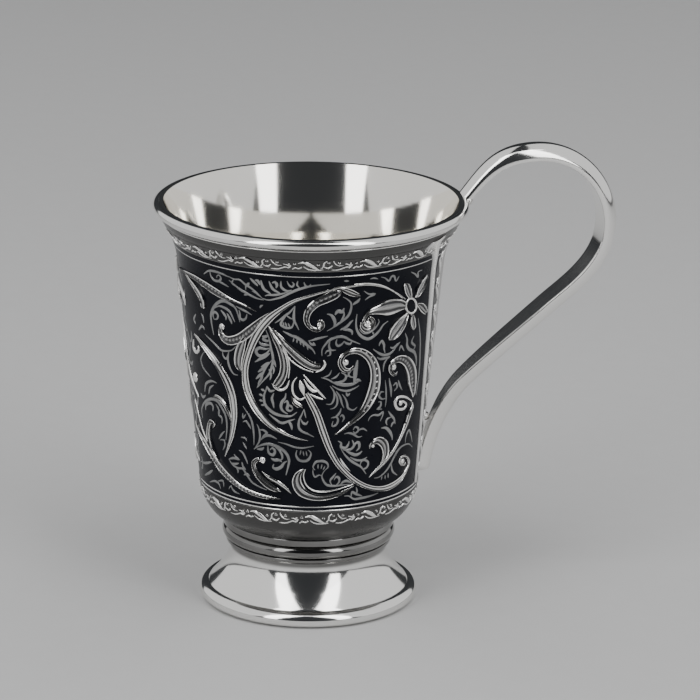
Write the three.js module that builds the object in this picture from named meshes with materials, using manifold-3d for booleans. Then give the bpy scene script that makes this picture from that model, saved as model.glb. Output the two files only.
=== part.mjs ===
// A silver mug with a niello panel, on a stepped foot, with a half-round strap handle.
// Millimetres, +Z up. The origin is on the table, under the middle of the mug's bounding box,
// and the handle points along +X.
import * as THREE from "three";
import { mergeVertices } from "three/addons/utils/BufferGeometryUtils.js";
import Module from "manifold-3d";

const wasm = await Module();
wasm.setup();

// Joints: the film of solder between two soldered rings, and the wider seam round the handle's ends
const SOLDER_GAP = 0.06;
const HANDLE_GAP = 0.3;

// Base: a rounded wire that the mug stands on, and the flared foot that stands on the wire,
// with its waist and shoulder stepped in from the edge of the cup's floor
const SHEET = 0.8;
const BASE_WIRE_HEIGHT = 3.8;
const BASE_WIRE_PROUD = 2.2;
const BASE_WIRE_SEAT = 1.6;
const FLARE_SPREAD = 5.25;
const FLARE_HEIGHT = 9.64;
const WAIST_STEP = 1.75;
const COVE_HEIGHT = 1;
const SHOULDER_STEP = 0.7;
const SHOULDER_HEIGHT = 0.8;

// Collar: a round bead and a flat fillet between the foot and the cup
const BEAD_HEIGHT = 3.4;
const BEAD_BULGE = 1.8;
const BEAD_PROUD = 0.2;
const FILLET_HEIGHT = 1.72;
const SOLDER_LEG = 1.2;

// Cup: a spun shell with a round bottom, a tapered wall, a flared neck and an upright lip
const FLOOR_RADIUS = 20.7;
const BOWL_SWELL = 5.6;
const BOWL_HEIGHT = 8.9;
const BOWL_EASE = 6.4;
const WALL_TAPER = 5.45;
const WALL_HEIGHT = 55;
const NECK_FLARE = 3.75;
const NECK_HEIGHT = 10.3;
const NECK_EASE = 5.65;
const LIP_ROLL = 0.6;
const LIP_HEIGHT = 4.1;
const LIP_WIRE_THICKNESS = 1.4;

// Panel: a shallow bed round the wall, filled with niello, and left plain behind the handle
const BED_DEPTH = 0.3;
const PANEL_RISE = 0.1;
const STRIP_TOP_WIDTH = 37.2;
const STRIP_FOOT_WIDTH = 23.2;

// Chased borders: low strips above, below and at both ends of the panel, the upper one under a plain band
const NECK_BAND = 0.9;
const BORDER_RELIEF = 0.4;
const BORDER_SPACE = 0.3;
const BORDER_WIDTH = 3;
const SIDE_BORDER_WIDTH = 2.6;

// Handle: a strap with a flat inner face and a crowned outer face, slender where it leaves the lip
// and narrowed to a tail on the wall
const RIM_END_WIDTH = 5.4;
const RIM_END_CROWN = 1.9;
const STRAP_WIDTH = 7.8;
const STRAP_EDGE = 0.7;
const STRAP_CROWN = 3.2;
const TAIL_WIDTH = 3.4;
const TAIL_EDGE = 1.5;
const TAIL_CROWN = 1.9;
const TAIL_RISE = 0.1;
const KNEE_RISE = 23.5;
const KNEE_OUT = 7.9;
const KNEE_SLOPE_DEGREES = 45;
const STRUT_DOWN = 19.2;
const STRUT_IN = 14.2;
const ELBOW_DROP = 16.6;
const HANDLE_REACH = 34.1;
const CROWN_OUT = 17.5;
const CROWN_RISE = 7.6;
const SPRING_OUT = 6.4;
const SPRING_RISE = 7.9;
const RIM_JOINT_DROP = 3.4;
const SOLDER_RUN_RADIUS = 1.2;

// Facets
const AROUND = 48;
const ARC_STEPS = 5;
const HALF_ROUND_STEPS = 8;
const STRAP_STEPS = 8;
const SEAT_STEP = 0.01;

// Heights and radii that follow from the sizes, from the table up
const FOOT_SEAT_Z = BASE_WIRE_HEIGHT + SOLDER_GAP;
const WAIST_Z = FOOT_SEAT_Z + FLARE_HEIGHT;
const SHOULDER_Z = WAIST_Z + COVE_HEIGHT;
const FOOT_TOP_Z = SHOULDER_Z + SHOULDER_HEIGHT;
const BEAD_Z = FOOT_TOP_Z + SOLDER_GAP;
const FILLET_Z = BEAD_Z + BEAD_HEIGHT + SOLDER_GAP;
const FLOOR_Z = FILLET_Z + FILLET_HEIGHT + SOLDER_GAP;
const WALL_FOOT_Z = FLOOR_Z + BOWL_HEIGHT;
const WALL_TOP_Z = WALL_FOOT_Z + WALL_HEIGHT;
const LIP_Z = WALL_TOP_Z + NECK_HEIGHT;
const RIM_Z = LIP_Z + LIP_HEIGHT;
const PANEL_FOOT_Z = WALL_FOOT_Z + PANEL_RISE;
const UPPER_BORDER_Z = LIP_Z - NECK_BAND - BORDER_WIDTH;
const PANEL_TOP_Z = UPPER_BORDER_Z - BORDER_SPACE;
const LOWER_BORDER_Z = PANEL_FOOT_Z - BORDER_SPACE - BORDER_WIDTH;
const WAIST_RADIUS = FLOOR_RADIUS - WAIST_STEP;
const FLARE_RADIUS = WAIST_RADIUS + FLARE_SPREAD;
const SHOULDER_RADIUS = FLOOR_RADIUS - SHOULDER_STEP;
const WALL_FOOT_RADIUS = FLOOR_RADIUS + BOWL_SWELL;
const WALL_TOP_RADIUS = WALL_FOOT_RADIUS + WALL_TAPER;
const LIP_FOOT_RADIUS = WALL_TOP_RADIUS + NECK_FLARE;
const LIP_RADIUS = LIP_FOOT_RADIUS + LIP_ROLL;
const RIM_RADIUS = LIP_RADIUS + LIP_WIRE_THICKNESS;
const COLLAR_BORE = WAIST_RADIUS - SHEET;
const STRAP_THICKNESS = STRAP_EDGE + STRAP_CROWN;

// Finishes
const POLISHED_SILVER = { color: 0xe9e7e2, roughness: 0.08, metalness: 1 };
const CHASED_SILVER = { color: 0xc4c2bc, roughness: 0.3, metalness: 1 };
const SOLDER = { color: 0xd8d4cb, roughness: 0.4, metalness: 1 };
const NIELLO = { color: 0x14161b, roughness: 0.35, metalness: 0.6 };

// Profiles in the half plane: x is the distance from the cup's axis, y the height

const point = (radius, z) => new THREE.Vector2(radius, z);

const WALL_LEAN = point(WALL_TAPER, WALL_HEIGHT).normalize();

// The cup's outside, from the edge of its floor to the edge of its lip
function cupOutside() {
  const wallFoot = point(WALL_FOOT_RADIUS, WALL_FOOT_Z);
  const wallTop = point(WALL_TOP_RADIUS, WALL_TOP_Z);
  const bowlTurn = wallFoot.clone().addScaledVector(WALL_LEAN, -BOWL_EASE);
  const neckTurn = wallTop.clone().addScaledVector(WALL_LEAN, NECK_EASE);
  const bowl = new THREE.QuadraticBezierCurve(point(FLOOR_RADIUS, FLOOR_Z), bowlTurn, wallFoot);
  const neck = new THREE.QuadraticBezierCurve(wallTop, neckTurn, point(LIP_FOOT_RADIUS, LIP_Z));
  const lip = [point(LIP_RADIUS, LIP_Z + LIP_HEIGHT / 2), point(LIP_RADIUS, RIM_Z)];
  return [...bowl.getPoints(ARC_STEPS), ...neck.getPoints(ARC_STEPS), ...lip];
}

const OUTSIDE = cupOutside();

// A profile moved along its normals, away from the axis for a positive distance
function shifted(profile, distance) {
  return profile.map((here, i) => {
    const before = profile[Math.max(i - 1, 0)];
    const after = profile[Math.min(i + 1, profile.length - 1)];
    const along = after.clone().sub(before).normalize();
    return point(here.x + along.y * distance, here.y - along.x * distance);
  });
}

// The radius of a climbing profile at one height
function radiusAt(profile, z) {
  const above = Math.max(profile.findIndex((p) => p.y >= z), 1);
  const low = profile[above - 1];
  const high = profile[above];
  return low.x + ((high.x - low.x) * (z - low.y)) / (high.y - low.y);
}

// The stretch of a climbing profile between two heights
function stretch(profile, low, high) {
  const inside = profile.filter((p) => p.y > low && p.y < high);
  return [point(radiusAt(profile, low), low), ...inside, point(radiusAt(profile, high), high)];
}

// A half circle, squeezed to a depth and a height, that bulges away from the axis
function halfRound(radius, foot, depth, height) {
  const outline = [];
  for (let i = 0; i <= HALF_ROUND_STEPS; i++) {
    const turn = (Math.PI * i) / HALF_ROUND_STEPS;
    outline.push(point(radius + depth * Math.sin(turn), foot + (height * (1 - Math.cos(turn))) / 2));
  }
  return outline;
}

// Solids

function turned(profile) {
  return new THREE.LatheGeometry(profile, AROUND).rotateX(Math.PI / 2);
}

// A ring turned from an outline that closes on itself
function ring(outline) {
  return turned([...outline, outline[0]]);
}

// A ring between two distances from the cup's outside and between two heights
function skin(low, high, inner, outer) {
  const back = stretch(shifted(OUTSIDE, inner), low, high);
  const face = stretch(shifted(OUTSIDE, outer), low, high);
  return ring([...face, ...back.reverse()]);
}

function solidOf(geometry) {
  const bare = geometry.clone();
  bare.deleteAttribute("normal");
  bare.deleteAttribute("uv");
  const merged = mergeVertices(bare);
  const vertProperties = new Float32Array(merged.attributes.position.array);
  const triVerts = new Uint32Array(merged.index.array);
  return new wasm.Manifold(new wasm.Mesh({ numProp: 3, vertProperties, triVerts }));
}

function geometryOf(solid) {
  const { vertProperties, triVerts } = solid.getMesh();
  const geometry = new THREE.BufferGeometry();
  geometry.setAttribute("position", new THREE.BufferAttribute(vertProperties, 3));
  geometry.setIndex(new THREE.BufferAttribute(triVerts, 1));
  geometry.computeVertexNormals();
  return geometry;
}

// A prism that runs out from the axis along +X, with its outline drawn in Y and Z
function prism(outline) {
  const shape = new THREE.Shape(outline);
  const bar = new THREE.ExtrudeGeometry(shape, { depth: 2 * RIM_RADIUS, bevelEnabled: false });
  return solidOf(bar.rotateX(Math.PI / 2).rotateZ(Math.PI / 2));
}

function named(name, geometry, finish) {
  const mesh = new THREE.Mesh(geometry, new THREE.MeshStandardMaterial(finish));
  mesh.name = name;
  return mesh;
}

// Foot and collar

function baseWire() {
  const back = FLARE_RADIUS - BASE_WIRE_SEAT;
  const outline = [
    point(back, 0),
    ...halfRound(FLARE_RADIUS, 0, BASE_WIRE_PROUD, BASE_WIRE_HEIGHT),
    point(back, BASE_WIRE_HEIGHT),
  ];
  return named("base_wire", ring(outline), POLISHED_SILVER);
}

function footShell() {
  const waist = point(WAIST_RADIUS, WAIST_Z);
  const flareTurn = point(WAIST_RADIUS, FOOT_SEAT_Z + FLARE_HEIGHT / 2);
  const flare = new THREE.QuadraticBezierCurve(point(FLARE_RADIUS, FOOT_SEAT_Z), flareTurn, waist);
  const coveTurn = point(WAIST_RADIUS, SHOULDER_Z);
  const cove = new THREE.QuadraticBezierCurve(waist, coveTurn, point(SHOULDER_RADIUS, SHOULDER_Z));
  const outside = flare.getPoints(ARC_STEPS);
  const inside = shifted(outside, -SHEET).slice(1).reverse();
  const outline = [
    ...outside,
    ...cove.getPoints(ARC_STEPS).slice(1),
    point(SHOULDER_RADIUS, FOOT_TOP_Z),
    point(COLLAR_BORE, FOOT_TOP_Z),
    ...inside,
    point(FLARE_RADIUS - SHEET, FOOT_SEAT_Z),
  ];
  return named("foot_shell", ring(outline), POLISHED_SILVER);
}

function collarBead() {
  const core = FLOOR_RADIUS + BEAD_PROUD - BEAD_BULGE;
  const outline = [
    point(COLLAR_BORE, BEAD_Z),
    ...halfRound(core, BEAD_Z, BEAD_BULGE, BEAD_HEIGHT),
    point(COLLAR_BORE, BEAD_Z + BEAD_HEIGHT),
  ];
  return named("collar_bead", ring(outline), POLISHED_SILVER);
}

function collarFillet() {
  const top = FILLET_Z + FILLET_HEIGHT;
  const outline = [
    point(COLLAR_BORE, FILLET_Z),
    point(FLOOR_RADIUS, FILLET_Z),
    point(FLOOR_RADIUS, top),
    point(COLLAR_BORE, top),
  ];
  return named("collar_fillet", ring(outline), POLISHED_SILVER);
}

// The bead of solder inside the foot, in the corner of the cup's floor and the collar
function footSolder() {
  const edge = COLLAR_BORE - SOLDER_GAP;
  const top = FLOOR_Z - SOLDER_GAP;
  const outline = [point(edge - SOLDER_LEG, top), point(edge, top - SOLDER_LEG), point(edge, top)];
  return named("foot_solder", ring(outline), SOLDER);
}

// Cup

// Half the width of the plain strip behind the handle, at one height
function stripHalf(z) {
  const share = (z - PANEL_FOOT_Z) / (PANEL_TOP_Z - PANEL_FOOT_Z);
  return (STRIP_FOOT_WIDTH + (STRIP_TOP_WIDTH - STRIP_FOOT_WIDTH) * share) / 2;
}

// The plain strip as a prism, taller than the panel and wider by a seam at each side
function plainStrip(seam) {
  const low = PANEL_FOOT_Z - SHEET;
  const high = PANEL_TOP_Z + SHEET;
  return prism([
    point(-stripHalf(low) - seam, low),
    point(stripHalf(low) + seam, low),
    point(stripHalf(high) + seam, high),
    point(-stripHalf(high) - seam, high),
  ]);
}

function cupBody() {
  const inside = shifted(OUTSIDE, -SHEET).slice(1).reverse();
  const floor = FLOOR_Z + SHEET;
  const shell = turned([
    point(0, FLOOR_Z),
    ...OUTSIDE,
    ...inside,
    point(FLOOR_RADIUS, floor),
    point(0, floor),
  ]);
  const bed = solidOf(skin(PANEL_FOOT_Z, PANEL_TOP_Z, -BED_DEPTH, BED_DEPTH)).subtract(plainStrip(0));
  return named("cup_body", geometryOf(solidOf(shell).subtract(bed)), POLISHED_SILVER);
}

function lipWire() {
  const seat = LIP_RADIUS + SOLDER_GAP;
  const outline = halfRound(seat, LIP_Z, LIP_WIRE_THICKNESS - SOLDER_GAP, LIP_HEIGHT);
  return named("lip_wire", ring(outline), POLISHED_SILVER);
}

function nielloInlay() {
  const fill = skin(PANEL_FOOT_Z + SOLDER_GAP, PANEL_TOP_Z - SOLDER_GAP, SOLDER_GAP - BED_DEPTH, 0);
  const inlay = solidOf(fill).subtract(plainStrip(SOLDER_GAP));
  return named("niello_inlay", geometryOf(inlay), NIELLO);
}

// A border that runs right round the cup
function border(name, foot) {
  return named(name, skin(foot, foot + BORDER_WIDTH, SOLDER_GAP, BORDER_RELIEF), CHASED_SILVER);
}

// An upright border at one end of the panel: side is 1 towards +Y and -1 towards -Y
function sideBorder(name, side) {
  const band = prism([
    point(side * (stripHalf(PANEL_FOOT_Z) - SIDE_BORDER_WIDTH), PANEL_FOOT_Z),
    point(side * stripHalf(PANEL_FOOT_Z), PANEL_FOOT_Z),
    point(side * stripHalf(PANEL_TOP_Z), PANEL_TOP_Z),
    point(side * (stripHalf(PANEL_TOP_Z) - SIDE_BORDER_WIDTH), PANEL_TOP_Z),
  ]);
  const cover = solidOf(skin(PANEL_FOOT_Z, PANEL_TOP_Z, SOLDER_GAP, BORDER_RELIEF));
  return named(name, geometryOf(cover.intersect(band)), CHASED_SILVER);
}

// Handle

const at = (x, z) => new THREE.Vector3(x, 0, z);

// The strap's flat inner face seen from the side: five curves from the lip to the tip of the tail
function handleLine() {
  const rim = at(RIM_RADIUS + HANDLE_GAP, RIM_Z - RIM_JOINT_DROP);
  const crown = at(RIM_RADIUS + CROWN_OUT, RIM_Z + CROWN_RISE);
  const elbow = at(RIM_RADIUS + HANDLE_REACH, crown.z - ELBOW_DROP);
  const strut = at(elbow.x - STRUT_IN, elbow.z - STRUT_DOWN);
  const kneeZ = WALL_FOOT_Z + KNEE_RISE;
  const knee = at(radiusAt(OUTSIDE, kneeZ) + KNEE_OUT, kneeZ);
  const tailZ = WALL_FOOT_Z + TAIL_RISE;
  const tail = at(radiusAt(OUTSIDE, tailZ) + HANDLE_GAP, tailZ);

  const lean = at(WALL_LEAN.x, WALL_LEAN.y);
  const slant = strut.clone().sub(knee).normalize();
  const slope = THREE.MathUtils.degToRad(KNEE_SLOPE_DEGREES);
  const bend = at(Math.cos(slope), Math.sin(slope));
  const beyond = (from, direction, distance) => from.clone().addScaledVector(direction, distance);
  const run = strut.distanceTo(knee);
  const fall = knee.distanceTo(tail);
  const round = 0.5523;
  const curves = [
    [rim, at(rim.x + SPRING_OUT, rim.z + SPRING_RISE), at(crown.x - CROWN_OUT / 2, crown.z), crown],
    [
      crown,
      at(crown.x + round * (elbow.x - crown.x), crown.z),
      at(elbow.x, elbow.z + round * ELBOW_DROP),
      elbow,
    ],
    [elbow, at(elbow.x, elbow.z - STRUT_DOWN / 2), beyond(strut, slant, STRUT_IN / 2), strut],
    [strut, beyond(strut, slant, -run / 4), beyond(knee, bend, run / 4), knee],
    [knee, beyond(knee, bend, -fall / 4), beyond(tail, lean, fall / 2.5), tail],
  ];
  return curves.map((corners) => new THREE.CubicBezierCurve3(...corners));
}

const HANDLE_LINE = handleLine();

// A place along the handle's line: 1.5 is halfway along its second curve
function handlePlace(along) {
  const index = Math.min(Math.floor(along), HANDLE_LINE.length - 1);
  const curve = HANDLE_LINE[index];
  const ahead = curve.getTangent(along - index);
  return { middle: curve.getPoint(along - index), out: at(-ahead.z, ahead.x) };
}

// The strap's section: x runs across the strap, y out from its flat face
function strapSection(width, edge, crown, grown) {
  const half = width / 2 + grown;
  const section = [point(half, -grown)];
  for (let i = 0; i <= HALF_ROUND_STEPS; i++) {
    const turn = (Math.PI * i) / HALF_ROUND_STEPS;
    section.push(point(half * Math.cos(turn), edge + (crown + grown) * Math.sin(turn)));
  }
  section.push(point(-half, -grown));
  return section;
}

// The strap lofted along the handle's line: it fills out along the first curve, narrows from the foot
// of the strut on and takes the section of its tail below the knee
function strapSolid(grown) {
  const { lerp, smoothstep } = THREE.MathUtils;
  const [rimEnd, crownPlace, , strutPlace, kneePlace] = HANDLE_LINE.keys();
  const tailEnd = HANDLE_LINE.length;
  const stations = tailEnd * STRAP_STEPS;
  const corners = [];
  for (let i = 0; i <= stations; i++) {
    const along = i / STRAP_STEPS;
    const { middle, out } = handlePlace(along);
    const filled = smoothstep(along, rimEnd, crownPlace);
    const narrowed = smoothstep(along, strutPlace, tailEnd);
    const thinned = smoothstep(along, kneePlace, tailEnd);
    const width = lerp(lerp(RIM_END_WIDTH, STRAP_WIDTH, filled), TAIL_WIDTH, narrowed);
    const edge = lerp(STRAP_EDGE, TAIL_EDGE, thinned);
    const crown = lerp(lerp(RIM_END_CROWN, STRAP_CROWN, filled), TAIL_CROWN, thinned);
    for (const p of strapSection(width, edge, crown, grown)) {
      const corner = middle.clone().addScaledVector(out, p.y);
      corners.push(corner.x, p.x, corner.z);
    }
  }
  const sides = corners.length / 3 / (stations + 1);
  const last = stations * sides;
  const faces = [];
  for (let start = 0; start < last; start += sides) {
    for (let i = 0; i < sides; i++) {
      const a = start + i;
      const b = start + ((i + 1) % sides);
      faces.push(a, b, b + sides, a, b + sides, a + sides);
    }
  }
  for (let i = 1; i + 1 < sides; i++) {
    faces.push(0, i + 1, i, last, last + i, last + i + 1);
  }
  const vertProperties = new Float32Array(corners);
  const triVerts = new Uint32Array(faces);
  return new wasm.Manifold(new wasm.Mesh({ numProp: 3, vertProperties, triVerts }));
}

// The cup and its lip wire as one solid plug, grown by the seam round the handle's ends
function cupPlug() {
  const wall = stretch(shifted(OUTSIDE, HANDLE_GAP), FLOOR_Z, LIP_Z - HANDLE_GAP);
  const thickness = LIP_WIRE_THICKNESS + HANDLE_GAP;
  const lip = halfRound(LIP_RADIUS, LIP_Z - HANDLE_GAP, thickness, LIP_HEIGHT + 2 * HANDLE_GAP);
  return solidOf(turned([point(0, FLOOR_Z), ...wall, ...lip, point(0, RIM_Z + HANDLE_GAP)]));
}

function handleStrap() {
  return named("handle_strap", geometryOf(strapSolid(0).subtract(cupPlug())), POLISHED_SILVER);
}

// The middle of a run of solder that fits between the strap's flat face and the cup: the first such
// place along the handle's line, counted from one of its ends
function solderSeat(end, step) {
  for (let along = end; ; along += step) {
    const { middle, out } = handlePlace(along);
    const seat = middle.addScaledVector(out, -SOLDER_RUN_RADIUS);
    const cupReach = seat.z > LIP_Z ? RIM_RADIUS : radiusAt(OUTSIDE, seat.z);
    if (seat.x > cupReach + SOLDER_RUN_RADIUS) return seat;
  }
}

// A round-ended run of solder across the strap
function handleSolder(name, seat, width) {
  const straight = width - 2 * SOLDER_RUN_RADIUS;
  const run = new THREE.CapsuleGeometry(SOLDER_RUN_RADIUS, straight, 3, HALF_ROUND_STEPS);
  const rod = solidOf(run.translate(seat.x, seat.y, seat.z));
  const fillet = rod.subtract(cupPlug()).subtract(strapSolid(HANDLE_GAP));
  return named(name, geometryOf(fillet), SOLDER);
}

// Assembly

const foot = new THREE.Group();
foot.add(baseWire(), footShell(), collarBead(), collarFillet(), footSolder());

const cup = new THREE.Group();
cup.add(
  cupBody(),
  lipWire(),
  nielloInlay(),
  border("upper_border", UPPER_BORDER_Z),
  border("lower_border", LOWER_BORDER_Z),
  sideBorder("near_side_border", -1),
  sideBorder("far_side_border", 1),
);

const handle = new THREE.Group();
handle.add(
  handleStrap(),
  handleSolder("upper_handle_solder", solderSeat(0, SEAT_STEP), RIM_END_WIDTH),
  handleSolder("lower_handle_solder", solderSeat(HANDLE_LINE.length, -SEAT_STEP), TAIL_WIDTH),
);

const mug = new THREE.Group();
mug.add(foot, cup, handle);
mug.position.x = -(HANDLE_REACH + STRAP_THICKNESS) / 2;

export default mug;
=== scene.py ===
from math import atan2, cos, hypot, pi, radians, sin, sqrt, tan

import bmesh
import bpy
from mathutils import Matrix, Vector, noise


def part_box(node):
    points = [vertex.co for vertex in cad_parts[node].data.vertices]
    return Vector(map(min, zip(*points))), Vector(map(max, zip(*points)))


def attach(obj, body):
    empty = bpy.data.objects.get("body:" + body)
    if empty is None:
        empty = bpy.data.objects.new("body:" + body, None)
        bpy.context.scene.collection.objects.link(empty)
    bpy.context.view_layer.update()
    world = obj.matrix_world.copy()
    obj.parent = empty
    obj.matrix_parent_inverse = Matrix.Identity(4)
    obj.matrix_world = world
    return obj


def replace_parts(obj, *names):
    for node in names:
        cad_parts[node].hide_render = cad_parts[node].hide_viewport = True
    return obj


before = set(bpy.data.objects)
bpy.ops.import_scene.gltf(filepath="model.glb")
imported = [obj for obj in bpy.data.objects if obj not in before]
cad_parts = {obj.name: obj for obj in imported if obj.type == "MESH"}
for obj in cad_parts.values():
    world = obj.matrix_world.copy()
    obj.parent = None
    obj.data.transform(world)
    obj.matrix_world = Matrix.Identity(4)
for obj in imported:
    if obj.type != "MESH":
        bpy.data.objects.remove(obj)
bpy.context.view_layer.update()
MM = 0.001

# Camera: a long lens a metre away, a little above the rim, at the photograph's angle.
# The handle points to the right and turns a little away from the lens.
LIP_LOW, LIP_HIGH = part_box("lip_wire")
AXIS_X = (LIP_LOW.x + LIP_HIGH.x) / 2
HANDLE_TURN = radians(13)
LENS_DISTANCE = 1.0
LENS_HEIGHT = 0.36825
LENS_PITCH = radians(17.039)
LENS_YAW = radians(0.55)
LENS_ROLL = radians(0.65)
PHOTO_SIZE = 700
PHOTO_FOCAL = 4363.45
SENSOR_MM = 36

stand = Vector((AXIS_X - LENS_DISTANCE * sin(HANDLE_TURN), -LENS_DISTANCE * cos(HANDLE_TURN), LENS_HEIGHT))
turn_to_mug = Matrix.Rotation(-HANDLE_TURN - LENS_YAW, 3, "Z")
level_right = turn_to_mug @ Vector((1, 0, 0))
ahead = turn_to_mug @ Vector((0, cos(LENS_PITCH), -sin(LENS_PITCH)))
level_up = level_right.cross(ahead)
right = level_right * cos(LENS_ROLL) + level_up * sin(LENS_ROLL)
up = level_up * cos(LENS_ROLL) - level_right * sin(LENS_ROLL)

lens = bpy.data.cameras.new("photo_lens")
lens.sensor_width = SENSOR_MM
lens.lens = PHOTO_FOCAL / PHOTO_SIZE * SENSOR_MM
camera = bpy.data.objects.new("photo_camera", lens)
camera.matrix_world = Matrix.Translation(stand) @ Matrix((right, up, -ahead)).transposed().to_4x4()
bpy.context.scene.collection.objects.link(camera)
bpy.context.scene.camera = camera

# Base wire: a half-round silver wire bent to a ring and soldered under the foot.
# It is flat below, where the mug stands, and polished to a mirror.
FLARE_RADIUS = 24.2 * MM
BASE_WIRE_SEAT = 1.6 * MM
AROUND = 192
ROUND_STEPS = 24
CREASE = radians(40)
MERGE = 0.002 * MM


class Signal:
    """A shader socket that takes part in Python arithmetic."""

    def __init__(self, finish, socket):
        self.finish = finish
        self.socket = socket

    def __add__(self, other):
        return self.finish.math("ADD", self, other)

    def __sub__(self, other):
        return self.finish.math("SUBTRACT", self, other)

    def __rsub__(self, other):
        return self.finish.math("SUBTRACT", other, self)

    def __mul__(self, other):
        return self.finish.math("MULTIPLY", self, other)

    __radd__ = __add__
    __rmul__ = __mul__


class Finish:
    """A material and the nodes behind its surface."""

    def __init__(self, name):
        self.material = bpy.data.materials.new(name)
        self.material.use_nodes = True
        self.tree = self.material.node_tree
        self.shader = self.tree.nodes["Principled BSDF"]

    def feed(self, socket, value):
        if isinstance(value, Signal):
            self.tree.links.new(value.socket, socket)
        else:
            socket.default_value = value

    def node(self, kind, settings, sockets, output=0):
        made = self.tree.nodes.new(kind)
        for name, value in settings.items():
            setattr(made, name, value)
        for name, value in sockets.items():
            self.feed(made.inputs[name], value)
        return Signal(self, made.outputs[output])

    def math(self, operation, first, second):
        return self.node("ShaderNodeMath", {"operation": operation}, {0: first, 1: second})

    def place(self):
        return self.node("ShaderNodeTexCoord", {}, {}, "Object")

    def stretched(self, scale):
        return self.node("ShaderNodeMapping", {}, {"Vector": self.place(), "Scale": scale})

    def noise(self, vector, scale, detail=3.0):
        return self.node("ShaderNodeTexNoise", {}, {"Vector": vector, "Scale": scale, "Detail": detail})

    def blend(self, share, first, second):
        return self.node("ShaderNodeMix", {"data_type": "RGBA"}, {0: share, 6: first, 7: second}, 2)

    def kept(self, name):
        return self.node("ShaderNodeAttribute", {"attribute_name": name}, {}, "Fac")

    def above(self, low, high):
        """A share that rises from 0 to 1 between two heights."""
        height = self.node("ShaderNodeSeparateXYZ", {}, {"Vector": self.place()}, "Z")
        return self.node(
            "ShaderNodeMapRange",
            {"interpolation_type": "SMOOTHSTEP"},
            {"Value": height, "From Min": low, "From Max": high},
        )

    def bump(self, height, strength, distance):
        return self.node(
            "ShaderNodeBump", {}, {"Height": height, "Strength": strength, "Distance": distance}
        )

    def surface(self, sockets):
        for name, value in sockets.items():
            self.feed(self.shader.inputs[name], value)
        return self


def half_round(radius, foot, depth, height):
    """A half circle, squeezed to a depth and a height, that bulges away from the axis."""
    turns = [pi * i / ROUND_STEPS for i in range(ROUND_STEPS + 1)]
    return [(radius + depth * sin(t), foot + height * (1 - cos(t)) / 2) for t in turns]


def turned(bm, outline, start=0.0, sweep=2 * pi):
    """Turns an outline of radii and heights, closed on itself, about the cup's axis."""
    corners = [bm.verts.new((AXIS_X + r * cos(start), r * sin(start), z)) for r, z in outline]
    edges = [bm.edges.new(pair) for pair in zip(corners, corners[1:] + corners[:1])]
    whole = sweep == 2 * pi
    steps = round(AROUND * abs(sweep) / (2 * pi))
    spun = bmesh.ops.spin(
        bm,
        geom=corners + edges,
        cent=(AXIS_X, 0, 0),
        axis=(0, 0, 1),
        angle=sweep,
        steps=steps,
        use_merge=whole,
    )
    if not whole:
        bm.faces.new(corners)
        bm.faces.new([v for v in spun["geom_last"] if isinstance(v, bmesh.types.BMVert)])


def finished(name, bm, slot, *finishes):
    """Closes a mesh into a piece that rides on the mug and takes the finishes given; the slot is not used.
    """
    bmesh.ops.remove_doubles(bm, verts=bm.verts, dist=MERGE)
    bmesh.ops.recalc_face_normals(bm, faces=bm.faces)
    for face in bm.faces:
        face.smooth = True
    for edge in bm.edges:
        edge.smooth = len(edge.link_faces) != 2 or edge.calc_face_angle() < CREASE
    mesh = bpy.data.meshes.new(name)
    bm.to_mesh(mesh)
    bm.free()
    for finish in finishes:
        mesh.materials.append(finish.material)
    piece = bpy.data.objects.new(name, mesh)
    bpy.context.scene.collection.objects.link(piece)
    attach(piece, "root")
    return piece


# Heights of the collar band, which is painted near-black as shade.
COLLAR_FOOT = 12.4 * MM
COLLAR_HEAD = 21.0 * MM
COLLAR_FADE = 1.0 * MM
POLISHED_LIGHT = (0.94, 0.935, 0.92, 1)
POLISHED_DEEP = (0.88, 0.87, 0.845, 1)
PAINTED_COLLAR_SHADE = (0.07, 0.069, 0.067, 1)


def mirror_silver():
    """Silver buffed to a mirror: a faint hand-made waviness, fine hairlines, and painted shade, a near-black
    band over the collar.
    """
    finish = Finish("mirror_silver")
    clouds = finish.noise(finish.place(), scale=55.0)
    waves = finish.noise(finish.place(), scale=90.0, detail=1.0)
    hairlines = finish.noise(finish.stretched((900.0, 900.0, 9000.0)), scale=1.0, detail=2.0)
    # Painted shade: the collar band is given a near-black colour that stands in for the shade in the recess
    # between the cup and the foot.
    collar = finish.above(COLLAR_FOOT, COLLAR_FOOT + COLLAR_FADE)
    collar = collar * (1 - finish.above(COLLAR_HEAD, COLLAR_HEAD + COLLAR_FADE))
    collar_painted_shade = collar * (0.6 + 0.4 * clouds)
    polished = finish.blend(clouds, POLISHED_LIGHT, POLISHED_DEEP)
    return finish.surface({
        "Base Color": finish.blend(collar_painted_shade, polished, PAINTED_COLLAR_SHADE),
        "Metallic": 1.0,
        "Roughness": 0.07 + 0.07 * clouds,
        "Normal": finish.bump(waves + 0.02 * hairlines, strength=0.12, distance=0.2 * MM),
    })


MIRROR_SILVER = mirror_silver()
BASE_LOW, BASE_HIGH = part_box("base_wire")
BASE_RADIUS = (BASE_HIGH.x - BASE_LOW.x) / 2
BASE_HEIGHT = BASE_HIGH.z - BASE_LOW.z
base_back = FLARE_RADIUS - BASE_WIRE_SEAT

bm = bmesh.new()
turned(bm, [
    (base_back, 0),
    *half_round(FLARE_RADIUS, 0, BASE_RADIUS - FLARE_RADIUS, BASE_HEIGHT),
    (base_back, BASE_HEIGHT),
])
base_wire = finished("base_ring", bm, "polished_silver", MIRROR_SILVER)
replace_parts(base_wire, "base_wire")

# Foot: a hollow flare spun from sheet silver, with a waist, a cove and a small shoulder.
# It stands on the base wire and carries the collar.
FOOT_LOW, FOOT_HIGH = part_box("foot_shell")
SHEET = 0.8 * MM
WAIST_RADIUS = 18.95 * MM
FLARE_HEIGHT = 9.64 * MM
COVE_HEIGHT = 1.0 * MM
SHOULDER_RADIUS = 20.0 * MM
EDGE_ROUND = 0.12 * MM


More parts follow.
